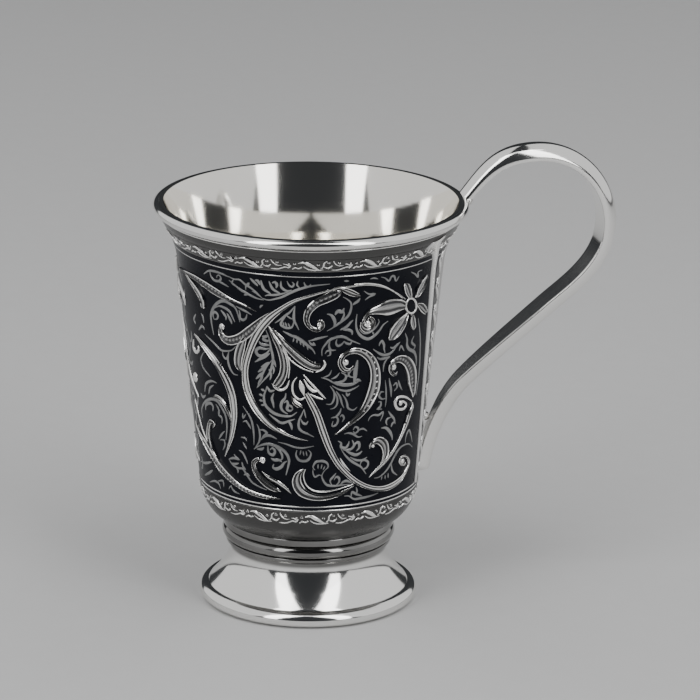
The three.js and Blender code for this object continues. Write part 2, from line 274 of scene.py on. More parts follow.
def bent(start, turn, end):
    """A curve from start to end that sets out and arrives along the lines through turn."""
    shares = [i / ROUND_STEPS for i in range(ROUND_STEPS + 1)]
    return [
        tuple((1 - t) ** 2 * a + 2 * t * (1 - t) * b + t**2 * c for a, b, c in zip(start, turn, end))
        for t in shares
    ]


def shifted(profile, distance):
    """A profile moved along its normals, away from the axis for a positive distance."""
    moved = []
    for i, (r, z) in enumerate(profile):
        before = profile[max(i - 1, 0)]
        after = profile[min(i + 1, len(profile) - 1)]
        run = (after[0] - before[0], after[1] - before[1])
        length = hypot(*run)
        moved.append((r + run[1] / length * distance, z - run[0] / length * distance))
    return moved


def softened(bm, radius):
    """Rounds every hard edge as polishing does."""
    hard = [e for e in bm.edges if len(e.link_faces) == 2 and e.calc_face_angle() > CREASE]
    bmesh.ops.bevel(bm, geom=hard, offset=radius, affect="EDGES", segments=3, profile=0.5, material=-1)


waist_z = FOOT_LOW.z + FLARE_HEIGHT
shoulder_z = waist_z + COVE_HEIGHT
half_flare_z = FOOT_LOW.z + FLARE_HEIGHT / 2
flare = bent((FLARE_RADIUS, FOOT_LOW.z), (WAIST_RADIUS, half_flare_z), (WAIST_RADIUS, waist_z))
cove = bent((WAIST_RADIUS, waist_z), (WAIST_RADIUS, shoulder_z), (SHOULDER_RADIUS, shoulder_z))
collar_bore = WAIST_RADIUS - SHEET

bm = bmesh.new()
turned(bm, [
    *flare,
    *cove[1:],
    (SHOULDER_RADIUS, FOOT_HIGH.z),
    (collar_bore, FOOT_HIGH.z),
    *reversed(shifted(flare, -SHEET)[1:]),
    (FLARE_RADIUS - SHEET, FOOT_LOW.z),
])
softened(bm, EDGE_ROUND)
foot = finished("flared_foot", bm, "polished_silver", MIRROR_SILVER)
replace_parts(foot, "foot_shell")

# Collar: a half-round bead and a flat fillet, both bent from wire, between the foot and the cup.
# They hide the solder joint and are polished with the foot.
BEAD_LOW, BEAD_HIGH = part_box("collar_bead")
BEAD_BULGE = 1.8 * MM
FILLET_LOW, FILLET_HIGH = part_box("collar_fillet")
FLOOR_RADIUS = (FILLET_HIGH.x - FILLET_LOW.x) / 2
bead_core = (BEAD_HIGH.x - BEAD_LOW.x) / 2 - BEAD_BULGE

bm = bmesh.new()
turned(bm, [
    (collar_bore, BEAD_LOW.z),
    *half_round(bead_core, BEAD_LOW.z, BEAD_BULGE, BEAD_HIGH.z - BEAD_LOW.z),
    (collar_bore, BEAD_HIGH.z),
])
collar_bead = finished("collar_bead_wire", bm, "polished_silver", MIRROR_SILVER)
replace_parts(collar_bead, "collar_bead")

bm = bmesh.new()
turned(bm, [
    (collar_bore, FILLET_LOW.z),
    (FLOOR_RADIUS, FILLET_LOW.z),
    (FLOOR_RADIUS, FILLET_HIGH.z),
    (collar_bore, FILLET_HIGH.z),
])
softened(bm, 2 * EDGE_ROUND)
collar_fillet = finished("collar_fillet_wire", bm, "polished_silver", MIRROR_SILVER)
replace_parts(collar_fillet, "collar_fillet")

# Foot solder: the bead of silver solder run into the corner under the cup's floor, inside the foot.
# It is left as it flowed, uneven and duller than the sheet.
SOLDER_LOW, SOLDER_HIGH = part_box("foot_solder")
SOLDER_BRIGHT = (0.86, 0.85, 0.82, 1)
SOLDER_GREY = (0.55, 0.54, 0.52, 1)


def flowed_solder():
    """Silver solder as it froze: soft lumps and a grey, bloomed skin."""
    finish = Finish("flowed_solder")
    lumps = finish.noise(finish.place(), scale=700.0)
    bloom_and_painted_shade = finish.noise(finish.place(), scale=2600.0)
    return finish.surface({
        "Base Color": finish.blend(bloom_and_painted_shade, SOLDER_BRIGHT, SOLDER_GREY),
        "Metallic": 1.0,
        "Roughness": 0.14 + 0.22 * bloom_and_painted_shade,
        "Normal": finish.bump(lumps, strength=0.6, distance=0.15 * MM),
    })


FLOWED_SOLDER = flowed_solder()
solder_edge = (SOLDER_HIGH.x - SOLDER_LOW.x) / 2
solder_leg = SOLDER_HIGH.z - SOLDER_LOW.z
solder_hollow = solder_leg / 3

bm = bmesh.new()
turned(bm, [
    *bent(
        (solder_edge - solder_leg, SOLDER_HIGH.z),
        (solder_edge - solder_hollow, SOLDER_HIGH.z - solder_hollow),
        (solder_edge, SOLDER_LOW.z),
    ),
    (solder_edge, SOLDER_HIGH.z),
])
foot_solder = finished("foot_solder_bead", bm, "solder", FLOWED_SOLDER)
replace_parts(foot_solder, "foot_solder")

# Cup: one shell spun from sheet silver, with a round bottom, a tapered wall, a flared neck and a lip.
# Outside it is polished to a soft satin, and inside it is burnished bright over the faint rings
# that the spinning left.
CUP_LOW, CUP_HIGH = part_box("cup_body")
BOWL_SWELL = 5.6 * MM
BOWL_HEIGHT = 8.9 * MM
BOWL_EASE = 6.4 * MM
WALL_TAPER = 5.45 * MM
WALL_HEIGHT = 55.0 * MM
NECK_FLARE = 3.75 * MM
NECK_HEIGHT = 10.3 * MM
NECK_EASE = 5.65 * MM
LIP_ROLL = 0.6 * MM
LIP_HEIGHT = 4.1 * MM
LIP_INSIDE = 1.0 * MM
FLARE_DEPTH = 17.9 * MM
FLARE_SLOPE = radians(19)

floor_z = CUP_LOW.z
rim_z = CUP_HIGH.z
wall_foot = (FLOOR_RADIUS + BOWL_SWELL, floor_z + BOWL_HEIGHT)
wall_top = (wall_foot[0] + WALL_TAPER, wall_foot[1] + WALL_HEIGHT)
wall_length = hypot(WALL_TAPER, WALL_HEIGHT)
lean = (WALL_TAPER / wall_length, WALL_HEIGHT / wall_length)
bowl_turn = (wall_foot[0] - lean[0] * BOWL_EASE, wall_foot[1] - lean[1] * BOWL_EASE)
neck_turn = (wall_top[0] + lean[0] * NECK_EASE, wall_top[1] + lean[1] * NECK_EASE)
lip_foot = (wall_top[0] + NECK_FLARE, wall_top[1] + NECK_HEIGHT)
lip_radius = lip_foot[0] + LIP_ROLL
cup_outside = [
    *bent((FLOOR_RADIUS, floor_z), bowl_turn, wall_foot),
    *bent(wall_top, neck_turn, lip_foot),
    (lip_radius, lip_foot[1] + LIP_HEIGHT / 2),
    (lip_radius, rim_z),
]


def cup_radius(height):
    """The cup's outer radius at one height."""
    for low, high in zip(cup_outside, cup_outside[1:]):
        if height <= high[1]:
            break
    return low[0] + (high[0] - low[0]) * (height - low[1]) / max(high[1] - low[1], MERGE)


# Heights between which the satin keeps its own tone; the bowl below and the neck above are painted dark as
# shade.
BOWL_HEAD = 29.3 * MM
NECK_FOOT = 90.0 * MM
PAINTED_SHADE_FADE = 1.0 * MM
RUBBED_LIGHT = (0.52, 0.515, 0.505, 1)
RUBBED_DEEP = (0.42, 0.415, 0.405, 1)
PAINTED_SHADE_PALE = (0.11, 0.109, 0.107, 1)
PAINTED_SHADE_DEEP = (0.075, 0.074, 0.073, 1)
BURNISHED_LIGHT = (0.965, 0.945, 0.9, 1)
BURNISHED_DEEP = (0.93, 0.905, 0.85, 1)


def satin_silver():
    """Spun silver outside the cup: satin with fine rings round it, and painted shade, a dark colour on the
    bowl and neck.
    """
    finish = Finish("satin_silver")
    clouds = finish.noise(finish.place(), scale=70.0)
    rings = finish.noise(finish.stretched((60.0, 60.0, 9000.0)), scale=1.0, detail=2.0)
    # Painted shade: outside the wall the satin is given a dark colour that stands in for the dark
    # surroundings the bowl and neck reflect.
    wall = finish.above(BOWL_HEAD, BOWL_HEAD + PAINTED_SHADE_FADE)
    wall = wall * (1 - finish.above(NECK_FOOT, NECK_FOOT + PAINTED_SHADE_FADE))
    rubbed = finish.blend(clouds, RUBBED_LIGHT, RUBBED_DEEP)
    bloom_and_painted_shade = finish.blend(clouds, PAINTED_SHADE_PALE, PAINTED_SHADE_DEEP)
    return finish.surface({
        "Base Color": finish.blend(wall, bloom_and_painted_shade, rubbed),
        "Metallic": 1.0,
        "Roughness": 0.22 + 0.1 * clouds,
        "Normal": finish.bump(rings, strength=0.06, distance=0.05 * MM),
    })


def burnished_silver():
    """Silver inside the cup: warm and bright, with fine rings from the spinning and a few scratches."""
    finish = Finish("burnished_silver")
    clouds = finish.noise(finish.place(), scale=80.0)
    rings = finish.noise(finish.stretched((25.0, 25.0, 3800.0)), scale=1.0, detail=3.0)
    return finish.surface({
        "Base Color": finish.blend(clouds, BURNISHED_LIGHT, BURNISHED_DEEP),
        "Metallic": 1.0,
        "Roughness": 0.04 + 0.05 * clouds + 0.05 * rings,
        "Normal": finish.bump(rings, strength=0.05, distance=0.05 * MM),
    })


SATIN_SILVER = satin_silver()
BURNISHED_SILVER = burnished_silver()
inside_floor = floor_z + SHEET
flare_foot_z = rim_z - FLARE_DEPTH
flare_foot = (cup_radius(flare_foot_z) - SHEET, flare_foot_z)
flare_rim = (lip_radius - LIP_INSIDE, rim_z)
rim_run = tan(FLARE_SLOPE)
wall_run = WALL_TAPER / WALL_HEIGHT
turn_drop = (flare_rim[0] - flare_foot[0] - wall_run * FLARE_DEPTH) / (rim_run - wall_run)
flare_turn = (flare_rim[0] - rim_run * turn_drop, rim_z - turn_drop)
wall_inside = [p for p in shifted(cup_outside, -SHEET) if inside_floor + SHEET / 2 < p[1] < flare_foot_z]

bm = bmesh.new()
outline = [
    (0, floor_z),
    *cup_outside,
    *reversed(bent(flare_foot, flare_turn, flare_rim)),
    *reversed(wall_inside),
    (FLOOR_RADIUS, inside_floor),
    (0, inside_floor),
]
turned(bm, outline)
bmesh.ops.remove_doubles(bm, verts=bm.verts, dist=MERGE)
for face in bm.faces:
    middle = face.calc_center_median()
    reach = hypot(middle.x - AXIS_X, middle.y)
    above_floor = middle.z > inside_floor - SHEET / 2
    within_wall = reach < cup_radius(middle.z) - SHEET / 2
    face.material_index = int(above_floor and within_wall)
cup = finished("spun_cup", bm, "satin_silver", SATIN_SILVER, BURNISHED_SILVER)
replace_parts(cup, "cup_body")

# Lip wire: a half-round silver wire soldered round the lip, polished to a mirror.
# A fine bead under it is rolled into the neck and catches the light as a thin line.
LIP_SEAT = 0.06 * MM
LIP_WIRE_HEIGHT = 2.3 * MM
LIP_LINE_DROP = 2.95 * MM
LIP_LINE_HEIGHT = 0.4 * MM
LIP_LINE_SUNK = 0.15 * MM
rim_radius = (LIP_HIGH.x - LIP_LOW.x) / 2
lip_depth = rim_radius - lip_radius - LIP_SEAT
line_z = LIP_HIGH.z - LIP_LINE_DROP

bm = bmesh.new()
turned(bm, half_round(lip_radius + LIP_SEAT, LIP_HIGH.z - LIP_WIRE_HEIGHT, lip_depth, LIP_WIRE_HEIGHT))
turned(bm, half_round(cup_radius(line_z) - LIP_LINE_SUNK, line_z, 2 * LIP_LINE_SUNK, LIP_LINE_HEIGHT))
lip_wire = finished("lip_ring", bm, "polished_silver", MIRROR_SILVER)
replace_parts(lip_wire, "lip_wire")

# Niello: a black sulphide of silver, copper and lead, fused into a shallow bed round the wall.
# It is filed flush and rubbed to a low blue-black gloss, and it stops at each side of the handle.
NIELLO_LOW, NIELLO_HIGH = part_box("niello_inlay")
NIELLO_DEPTH = 0.2 * MM
NIELLO_PROUD = 0.03 * MM
STRIP_TOP_WIDTH = 37.2 * MM
STRIP_FOOT_WIDTH = 23.2 * MM
PANEL_ROWS = 40
NIELLO_BLACK = (0.003, 0.0035, 0.006, 1)
NIELLO_CLOUD = (0.009, 0.01, 0.015, 1)


def strip_half(height):
    """Half the width of the plain strip behind the handle, at one height."""
    share = (height - NIELLO_LOW.z) / (NIELLO_HIGH.z - NIELLO_LOW.z)
    return (STRIP_FOOT_WIDTH + (STRIP_TOP_WIDTH - STRIP_FOOT_WIDTH) * share) / 2


def strip_angle(height, out=0.0):
    """The angle about the axis from the handle to the end of the panel, or to a place out from it."""
    half = strip_half(height) + out
    return atan2(half, sqrt(cup_radius(height) ** 2 - half**2))


def on_cup(angle, height, lift=0.0):
    """A point on the cup's outside, lifted off it."""
    reach = cup_radius(height) + lift
    return Vector((AXIS_X + reach * cos(angle), reach * sin(angle), height))


def fused_niello():
    """Niello: blue-black with a low gloss, cloudy dull patches and fine file marks."""
    finish = Finish("fused_niello")
    clouds = finish.noise(finish.place(), scale=130.0)
    marks = finish.noise(finish.stretched((700.0, 700.0, 5200.0)), scale=1.0, detail=2.0)
    return finish.surface({
        "Base Color": finish.blend(clouds, NIELLO_BLACK, NIELLO_CLOUD),
        "Specular IOR Level": 0.07,
        "Roughness": 0.18 + 0.2 * clouds,
        "Normal": finish.bump(marks, strength=0.08, distance=0.04 * MM),
    })


def grid_piece(bm, columns, rows, place):
    """A sheet of faces whose corners are placed by a function of two shares from 0 to 1."""
    made = bmesh.ops.create_grid(bm, x_segments=columns, y_segments=rows, size=1)
    for corner in made["verts"]:
        corner.co = place((corner.co.x + 1) / 2, (corner.co.y + 1) / 2)


def plate(bm, columns, rows, place, lifts):
    """A thin plate between two lifts of one sheet, closed round its rim."""
    for lift in lifts:
        grid_piece(bm, columns, rows, lambda along, climb: place(along, climb, lift))
    bmesh.ops.bridge_loops(bm, edges=[e for e in bm.edges if e.is_boundary])


FUSED_NIELLO = fused_niello()


def panel_place(along, climb, lift):
    """A place on the panel's face or its back, from one side of the handle round to the other."""
    height = NIELLO_LOW.z + (NIELLO_HIGH.z - NIELLO_LOW.z) * climb
    edge = strip_angle(height)
    return on_cup(edge + (2 * pi - 2 * edge) * along, height, lift)


bm = bmesh.new()
plate(bm, AROUND, PANEL_ROWS, panel_place, (NIELLO_PROUD, -NIELLO_DEPTH))
niello = finished("niello_panel", bm, "niello", FUSED_NIELLO)
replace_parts(niello, "niello_inlay")

# Frame of the panel: thin silver lines left standing in the niello along its top and foot,
# and a smooth bar at each of its ends, which widens to a small cap over the upper border.
FRAME_TOP_DROP = 1.45 * MM
FRAME_FOOT_RISE = (1.1 * MM, 0.1 * MM)
FRAME_LINE_HEIGHT = 0.42 * MM
FRAME_LINE_DEPTH = 0.28 * MM
FRAME_SUNK = 0.12 * MM
STROKE_STEP = 0.28 * MM
STROKE_SUNK = 0.08 * MM
STROKE_SLOPE = 0.42
STROKE_LEAST = 0.1 * MM
BARB_LEAN = 1.8
BARB_REACH = 0.3
BARB_CUT = 0.4
BARB_SHADE = 0.9
FRAME_SHINE = 0.8
CUT_DARK = (0.035, 0.035, 0.04, 1)
RIDGE_BRIGHT = (0.97, 0.965, 0.95, 1)


def mirrored(half):
    """A section given from one edge to its middle, with its other half added."""
    return [*half, *((-across, rise, shine) for across, rise, shine in reversed(half[:-1]))]


# A section is a row of places across a stroke, each with its rise and how bright wear has left it.
DOMED = mirrored([(-1, 0, 0.1), (-0.85, 0.5, 0.6), (-0.5, 0.87, 1), (0, 1, 1)])


def smooth_line(points, spacing):
    """A line that passes smoothly through places with widths, in steps of about one spacing."""
    ends = [points[0], *points, points[-1]]
    line = []
    for a, b, c, d in zip(ends, ends[1:], ends[2:], ends[3:]):
        steps = max(round(hypot(c[0] - b[0], c[1] - b[1]) / spacing), 1)
        for step in range(steps):
            t = step / steps
            line.append(tuple(
                q + t * ((r - p) + t * ((2 * p - 5 * q + 4 * r - s) + t * (3 * q - p - 3 * r + s))) / 2
                for p, q, r, s in zip(a, b, c, d)
            ))
    return [*line, points[-1]]


def worn_layer(bm):
    """The mesh's record of how bright wear has left each corner."""
    return bm.verts.layers.float.get("worn") or bm.verts.layers.float.new("worn")


def evenly_worn(bm, corners, shine):
    """Leaves corners of the mesh equally bright."""
    worn = worn_layer(bm)
    for corner in corners:
        corner[worn] = shine


def stroke(bm, points, where, section, relief, barb=0.0):
    """A raised stroke along places and widths in millimetres, laid on the cup by where: barb spaces cuts."""
    worn = worn_layer(bm)
    line = smooth_line(points, STROKE_STEP / MM)
    loop = [*section, (1, None, 0), (-1, None, 0)]
    rows = len(line) - 1
    travelled = [0.0]
    for before, after in zip(line, line[1:]):
        travelled.append(travelled[-1] + hypot(after[0] - before[0], after[1] - before[1]))
    for corner in bmesh.ops.create_grid(bm, x_segments=rows, y_segments=len(loop), size=1)["verts"]:
        i = round((corner.co.x + 1) / 2 * rows)
        across, rise, shine = loop[round((corner.co.y + 1) / 2 * len(loop)) % len(loop)]
        x, y, width = line[i]
        before = line[max(i - 1, 0)]
        after = line[min(i + 1, rows)]
        run = (after[0] - before[0], after[1] - before[1])
        length = hypot(*run)
        side = across * max(width, 0) / 2
        cut = 0.0
        if barb and abs(across) < BARB_REACH:
            cut = (1 + cos(2 * pi * travelled[i] / barb - BARB_LEAN * abs(across))) / 2
        lift = -STROKE_SUNK
        if rise is not None:
            lift = rise * min(relief, STROKE_LEAST + STROKE_SLOPE * width * MM) * (1 - BARB_CUT * cut)
        corner.co = where(x - run[1] / length * side, y + run[0] / length * side, lift)
        corner[worn] = shine * (1 - BARB_SHADE * cut)


def closed_ends(bm):
    """Joins the edges of each stroke, or of a strap, and closes its two ends."""
    bmesh.ops.remove_doubles(bm, verts=bm.verts, dist=MERGE)
    bmesh.ops.holes_fill(bm, edges=[e for e in bm.edges if e.is_boundary], sides=0)


def chased_silver():
    """Chased silver: ridges rubbed bright, cuts and hollows left dark, with fine tool marks."""
    finish = Finish("chased_silver")
    worn = finish.kept("worn")
    marks = finish.noise(finish.place(), scale=2400.0)
    return finish.surface({
        "Base Color": finish.blend(worn, CUT_DARK, RIDGE_BRIGHT),
        "Metallic": 1.0,
        "Roughness": 0.3 - 0.24 * worn + 0.04 * marks,
        "Normal": finish.bump(marks, strength=0.25, distance=0.1 * MM),
    })


CHASED_SILVER = chased_silver()
# The bar at one end of the panel: millimetres out from the strip's edge, height, and the bar's width.
BAR_LINE = [
    (6.4, 94.9, 3.0),
    (6.2, 94.3, 5.2),
    (5.6, 93.3, 3.6),
    (4.6, 92.2, 2.6),
    (3.4, 90.6, 2.3),
    (2.4, 88.8, 2.2),
    (1.8, 86.0, 2.2),
    (1.7, 80.0, 2.2),
    (1.5, 62.0, 1.8),
    (1.2, 45.0, 1.5),
    (1.0, 31.0, 1.2),
]
BAR_RELIEF = 0.4 * MM


def beside_strip(side):
    """Lays places beside the strip behind the handle: millimetres out from its edge, and height."""

    def where(out, height, lift):
        return on_cup(side * strip_angle(height * MM, out * MM), height * MM, lift)

    return where


bm = bmesh.new()
for height in (NIELLO_HIGH.z - FRAME_TOP_DROP, *(NIELLO_LOW.z + rise for rise in FRAME_FOOT_RISE)):
    start = strip_angle(height)
    back = cup_radius(height) - FRAME_SUNK
    line = half_round(back, height, FRAME_LINE_DEPTH, FRAME_LINE_HEIGHT)
    turned(bm, line, start, 2 * pi - 2 * start)
evenly_worn(bm, bm.verts, FRAME_SHINE)
for side in (-1, 1):
    stroke(bm, BAR_LINE, beside_strip(side), DOMED, BAR_RELIEF)
closed_ends(bm)
finished("panel_frame", bm, "chased_silver", CHASED_SILVER)

# Scrolls: stems, leaves and a flower chased up from the wall, rubbed bright on their ridges.
# Each is traced as places across and down the photograph, with the stroke's width in pixels there.
# The panel holds the motif twice, once on each side of the mug.
PIXEL = 0.24 * MM
SCROLL_RELIEF = 0.6 * MM
MOTIF_TURN = radians(144)
MEETING_TRIES = 5
PANEL_RADIUS = 30.0 * MM
LEAST_FACING = 0.4
FLUTED = mirrored([
    (-1, 0, 0.1), (-0.92, 0.7, 1), (-0.72, 0.9, 1), (-0.56, 0.5, 0.06), (-0.42, 0.5, 0.06),
    (-0.24, 0.95, 0.8), (0, 1, 0.95),
])
RIMMED = mirrored([
    (-1, 0, 0.1), (-0.92, 0.85, 1), (-0.74, 1, 1), (-0.62, 0.5, 0.08), (-0.4, 0.3, 0.03),
    (-0.22, 0.6, 0.3), (0, 0.75, 0.55),
])
off_axis = Vector((stand.x - AXIS_X, stand.y))
LENS_HEADING = atan2(off_axis.y, off_axis.x)
ARCH_RIM = [(402, 298, 0.8), (392, 290.5, 1.6), (380, 285, 1.8), (367, 283.2, 1.8), (354, 284.2, 0.8)]
ARCH_STEM = [
    (405, 299, 1.2), (395, 292, 1.6), (381, 286.5, 2), (365, 284.8, 2.2), (350, 286.6, 2.4),
    (336, 288.5, 2.6), (314, 295, 3.2), (295, 301, 4.2), (280, 310, 5.5), (268, 320, 7.5),
    (258, 333, 8), (250.5, 350, 7), (246, 368, 7), (247, 385, 8), (252, 400, 8.5),
    (260, 413, 8.5), (271, 424.5, 7), (284, 433, 4.5), (296, 438, 2.5), (308, 440.5, 0.8),
]
HOOK_LEAF = [
    (221.5, 326, 3), (222.5, 334, 6.5), (229, 340, 8.5), (240, 338, 9), (251, 330, 9), (262, 319.5, 5),
    (272, 311.5, 1),
]
LOWER_LOBE = [(246, 337, 4), (242, 347, 9), (239.5, 357, 9.5), (239.5, 365, 8), (242, 371, 2)]
BELL_LEFT = [
    (268.5, 326, 1.5), (274, 336, 4.5), (279.5, 346, 6.5), (283, 356, 7.5), (284.5, 366, 8),
    (283, 375, 8.5), (279, 382, 9), (275.5, 386, 6),
]
BELL_LEFT_RIM = [(276, 334, 0.8), (283, 345, 1.6), (287.5, 356, 1.9), (289.5, 367, 1.9), (288.5, 378, 1.4)]
BELL_LEFT_FOOT = [
    (272.5, 383.5, 1.2), (275.5, 387.5, 3), (281, 389.8, 3.4), (286.5, 387, 3), (289.5, 380, 1.2),
]
BELL_RIGHT = [
    (269, 326, 1.5), (277, 333.5, 4.5), (286, 344, 7), (295, 353, 9), (304, 360.5, 9.5), (313, 365.5, 9),
    (320, 366.5, 7.5),
]
BELL_RIGHT_RIM = [(278, 342, 0.8), (284, 352, 1.8), (292, 361, 2), (302, 368, 2), (313, 372, 1.2)]
BELL_RIGHT_FOOT = [(323.5, 360, 1.2), (325, 364, 3.2), (322, 369, 3.2), (316, 372, 1.2)]
BUD_RING = [
    (297, 377, 1), (293, 383, 2.4), (293, 392, 2.8), (297.5, 398.5, 2.6), (302.5, 399, 2.2),
    (306, 395, 1),
]
BUD_HEART = [(300, 380, 1.5), (301.5, 386, 6.5), (303, 391, 5), (304.5, 396, 1)]
BUD_TAIL = [(291.5, 396, 1), (295, 402, 5), (300, 405.5, 5), (303, 408, 1)]
BUD_SEPAL = [(303.5, 374.5, 1.2), (309, 381, 2.6), (316, 388.5, 2.8), (322, 395, 2.6), (325.5, 398.5, 1)]
BUD_TONGUE = [(304, 379, 1), (308, 386, 3.4), (313, 390.5, 4.2), (318.5, 391, 1.5)]
BUD_FOLD = [(310, 394, 1), (316, 397, 2.8), (322.5, 399, 2)]
MAIN_STEM = [
    (306, 393, 5), (311, 402, 7), (317, 414, 7.5), (323.5, 433, 8), (330.5, 451, 7), (339.5, 466, 6),
    (352, 478.5, 5.5), (365, 486, 5), (378, 488.5, 5), (389.5, 486, 6), (399.5, 478.5, 5),
    (405.5, 469, 3), (408, 462, 2.5), (405.5, 456.5, 2.5), (400.5, 457, 2.2), (399, 462, 2),
    (402.5, 465, 2), (405, 462.5, 1.2),
]
STEM_SLIVER = [(340, 458, 0.8), (343.5, 464, 3), (350, 471, 0.8)]
RIGHT_SCROLL = [
    (353, 366, 1.5), (349.5, 369.5, 3.5), (343.5, 369, 5.5), (340, 362, 5.5), (343.5, 354.5, 5.5),
    (352, 350.5, 6), (361, 351.5, 7), (369, 357.5, 8.5), (373.5, 367, 10), (374.5, 378, 11.5),
    (372.5, 390, 13), (367.5, 402, 11), (360, 413, 7.5), (350, 422.5, 4.5), (341.5, 430, 2.8),
    (334.5, 434.8, 1),
]
TOP_CURL = [
    (341, 291, 3), (335, 294, 9), (326, 298, 10), (316, 303, 8.5), (308.5, 311, 7), (306.5, 320, 5.5),
    (310.5, 327, 4.5), (317.5, 329.5, 4.5), (322.5, 326, 4), (321.5, 321, 3), (317.5, 321, 1.5),
]
TOP_LEAF = [(338, 287, 0.8), (344, 289.5, 5), (351, 292.5, 6.5), (358, 295, 3.5), (360.5, 295.5, 0.8)]
PETALS = [
    [(410, 299, 2), (407.5, 292, 7), (405.5, 286, 6), (404.5, 283, 1.5)],
    [(415.5, 297.5, 2), (418.5, 291, 7.5), (423, 282, 7.5), (426.5, 274.5, 1)],
    [(416.5, 304, 2), (420.5, 307, 6.5), (424, 311, 5), (425.5, 313, 1.2)],
    [(411, 313.5, 2), (411.5, 320, 6), (412.5, 326, 5), (413, 330, 1)],
    [(406.5, 313, 3), (401, 322, 12), (394, 332, 13.5), (389.5, 338.5, 6), (388.5, 340, 2)],
    [(406, 306, 3), (399, 305, 11), (388, 307, 15.5), (377, 309.5, 9), (369, 312, 5), (365, 316, 3.5),
     (363.5, 320, 2.5)],
]
FLOWER_HEART = (410.7, 305.7)
FLOWER_RING = (5.2, 7.4, 2.2)
FLOWER_CURL = [
    (363.5, 319, 2), (361.5, 325, 5), (365.5, 329, 6.5), (371, 327, 5.5), (373, 321, 3.5),
    (370, 317.5, 2.5), (367.5, 320, 1.2),
]
RIGHT_LEAF = [
    (397, 372, 1.5), (393.5, 374.5, 3), (389.5, 370, 4.5), (391, 363, 5.5), (398, 358.5, 6.5),
    (405.5, 361.5, 9), (410, 370, 11), (411.3, 380, 11), (411.8, 389, 7), (412.2, 397, 1),
]
RIGHT_STEM = [
    (412, 402, 1), (410.5, 408, 4.5), (408, 416, 6.5), (404.7, 425, 4), (400, 437, 2.8), (392, 451.5, 3),
    (383.5, 462, 3.5), (375, 470.5, 2.8), (368.5, 477.5, 0.8),
]
RIGHT_SPIRAL = [
    (411, 401, 1.2), (405, 397, 2.5), (398, 397, 3), (394.5, 402.5, 3.2), (397, 408.5, 3.2),
    (403, 408.5, 2.8), (405.5, 404, 2.4), (402, 401, 2), (399.5, 403, 1.4),
]
COMMA_LEAF = [
    (369, 448.5, 1.2), (371.5, 442.5, 4.5), (377.5, 440, 7.5), (383, 444, 9), (384.5, 452, 8),
    (382.5, 460, 5.5), (379, 467, 1),
]
LEFT_CURL = [
    (264, 463, 2), (259, 459, 4), (254.5, 463, 5), (256.5, 471, 6.5), (262.5, 479, 7.5), (270.5, 485.5, 8),
    (277.5, 489.5, 5), (281, 491.5, 1.2),
]
LEFT_CURL_LEAF = [(262, 471, 1), (269, 477, 4), (278, 482, 5), (286, 488, 4), (291.5, 493.5, 0.8)]
CRESCENT = [
    (304, 469, 1.5), (298.5, 474, 7), (297, 482, 11), (301, 490, 11.5), (309, 495, 9), (320, 497, 7),
    (332, 495.5, 5.5), (343, 491.5, 3.8), (354, 485.5, 1),
]
CRESCENT_RIM = [
    (305.5, 469, 1.2), (303.5, 476, 1.8), (306.5, 485, 2), (314, 490.5, 2), (325, 491.5, 2),
    (338, 489, 1.8), (353, 484, 0.8),
]
LEFT_SPEAR = [
    (180, 267.5, 1), (192, 275, 3.5), (203, 282, 5.5), (214, 289.5, 7), (224, 295.5, 6), (233, 300, 3),
    (245, 305.5, 2), (257, 311.5, 0.8),
]
SPEAR_PETAL = [
    (186, 273, 1), (192.5, 282, 3.5), (198.5, 291, 5), (203, 300, 5.5), (204, 306.5, 4),
    (204, 308.5, 1.5),
]
SABRE_LEAF = [
    (195, 334, 1), (201, 340.5, 3.5), (209.5, 351.5, 6), (218.5, 364, 8), (226.5, 378, 9.5), (232, 392, 9.5),
    (234.5, 406, 8.5), (234.8, 420, 7), (232, 438, 4.5), (225.5, 456, 0.8),
]
SABRE_INNER = [(213.5, 396.5, 1), (219, 397, 4.5), (225.5, 403.5, 5), (230, 413, 4), (233, 424, 1)]
SABRE_CURL = [(194, 339, 1), (194.5, 347, 2.5), (197, 352, 3), (199.5, 349.5, 2.5), (198.5, 346, 1.2)]
BEADED_STEM = [
    (196.5, 421.5, 1), (203.5, 437, 4), (212, 452.5, 6.5), (220.5, 466, 7.5), (232, 478.5, 6.5),
    (245, 488.5, 5), (262, 495.5, 4.5), (281, 498.8, 0.8),
]
BEADED_BRANCH = [
    (213.5, 427.5, 1.2), (215, 423.5, 2.5), (211.5, 421.5, 3.5), (209.8, 429, 4), (210, 438, 5),
    (213, 449, 5), (219, 460, 2),
]
EDGE_LEAF = [(177.5, 273, 1), (180.5, 283, 3.5), (184.5, 295, 3.5), (186, 305, 1)]
EDGE_LINE = [(182, 310, 1), (186.4, 340, 2.2), (191.4, 373, 2.2), (199.3, 397, 1)]
EDGE_TENDRIL = [(195.7, 399, 1), (199.3, 413, 1.8), (203.6, 430, 1.8), (208, 441.4, 0.8)]
EDGE_SPRIG = [(196.4, 446, 0.8), (198, 453, 1.8), (200, 460.7, 0.8)]
PLAIN_STEMS = [
    ARCH_RIM, BELL_LEFT_RIM, BELL_LEFT_FOOT, BELL_RIGHT_RIM, BELL_RIGHT_FOOT, BUD_RING, BUD_HEART, BUD_SEPAL,
    BUD_TONGUE, BUD_FOLD, RIGHT_SPIRAL, CRESCENT_RIM, SABRE_CURL, STEM_SLIVER,
]
FLUTED_STEMS = [ARCH_STEM, MAIN_STEM, RIGHT_STEM, SABRE_LEAF, LEFT_CURL_LEAF]
VEINED_LEAVES = [
    BELL_LEFT, BELL_RIGHT, LOWER_LOBE, BUD_TAIL, TOP_LEAF, *PETALS, FLOWER_CURL, COMMA_LEAF, LEFT_CURL,
    CRESCENT, SPEAR_PETAL, SABRE_INNER,
]
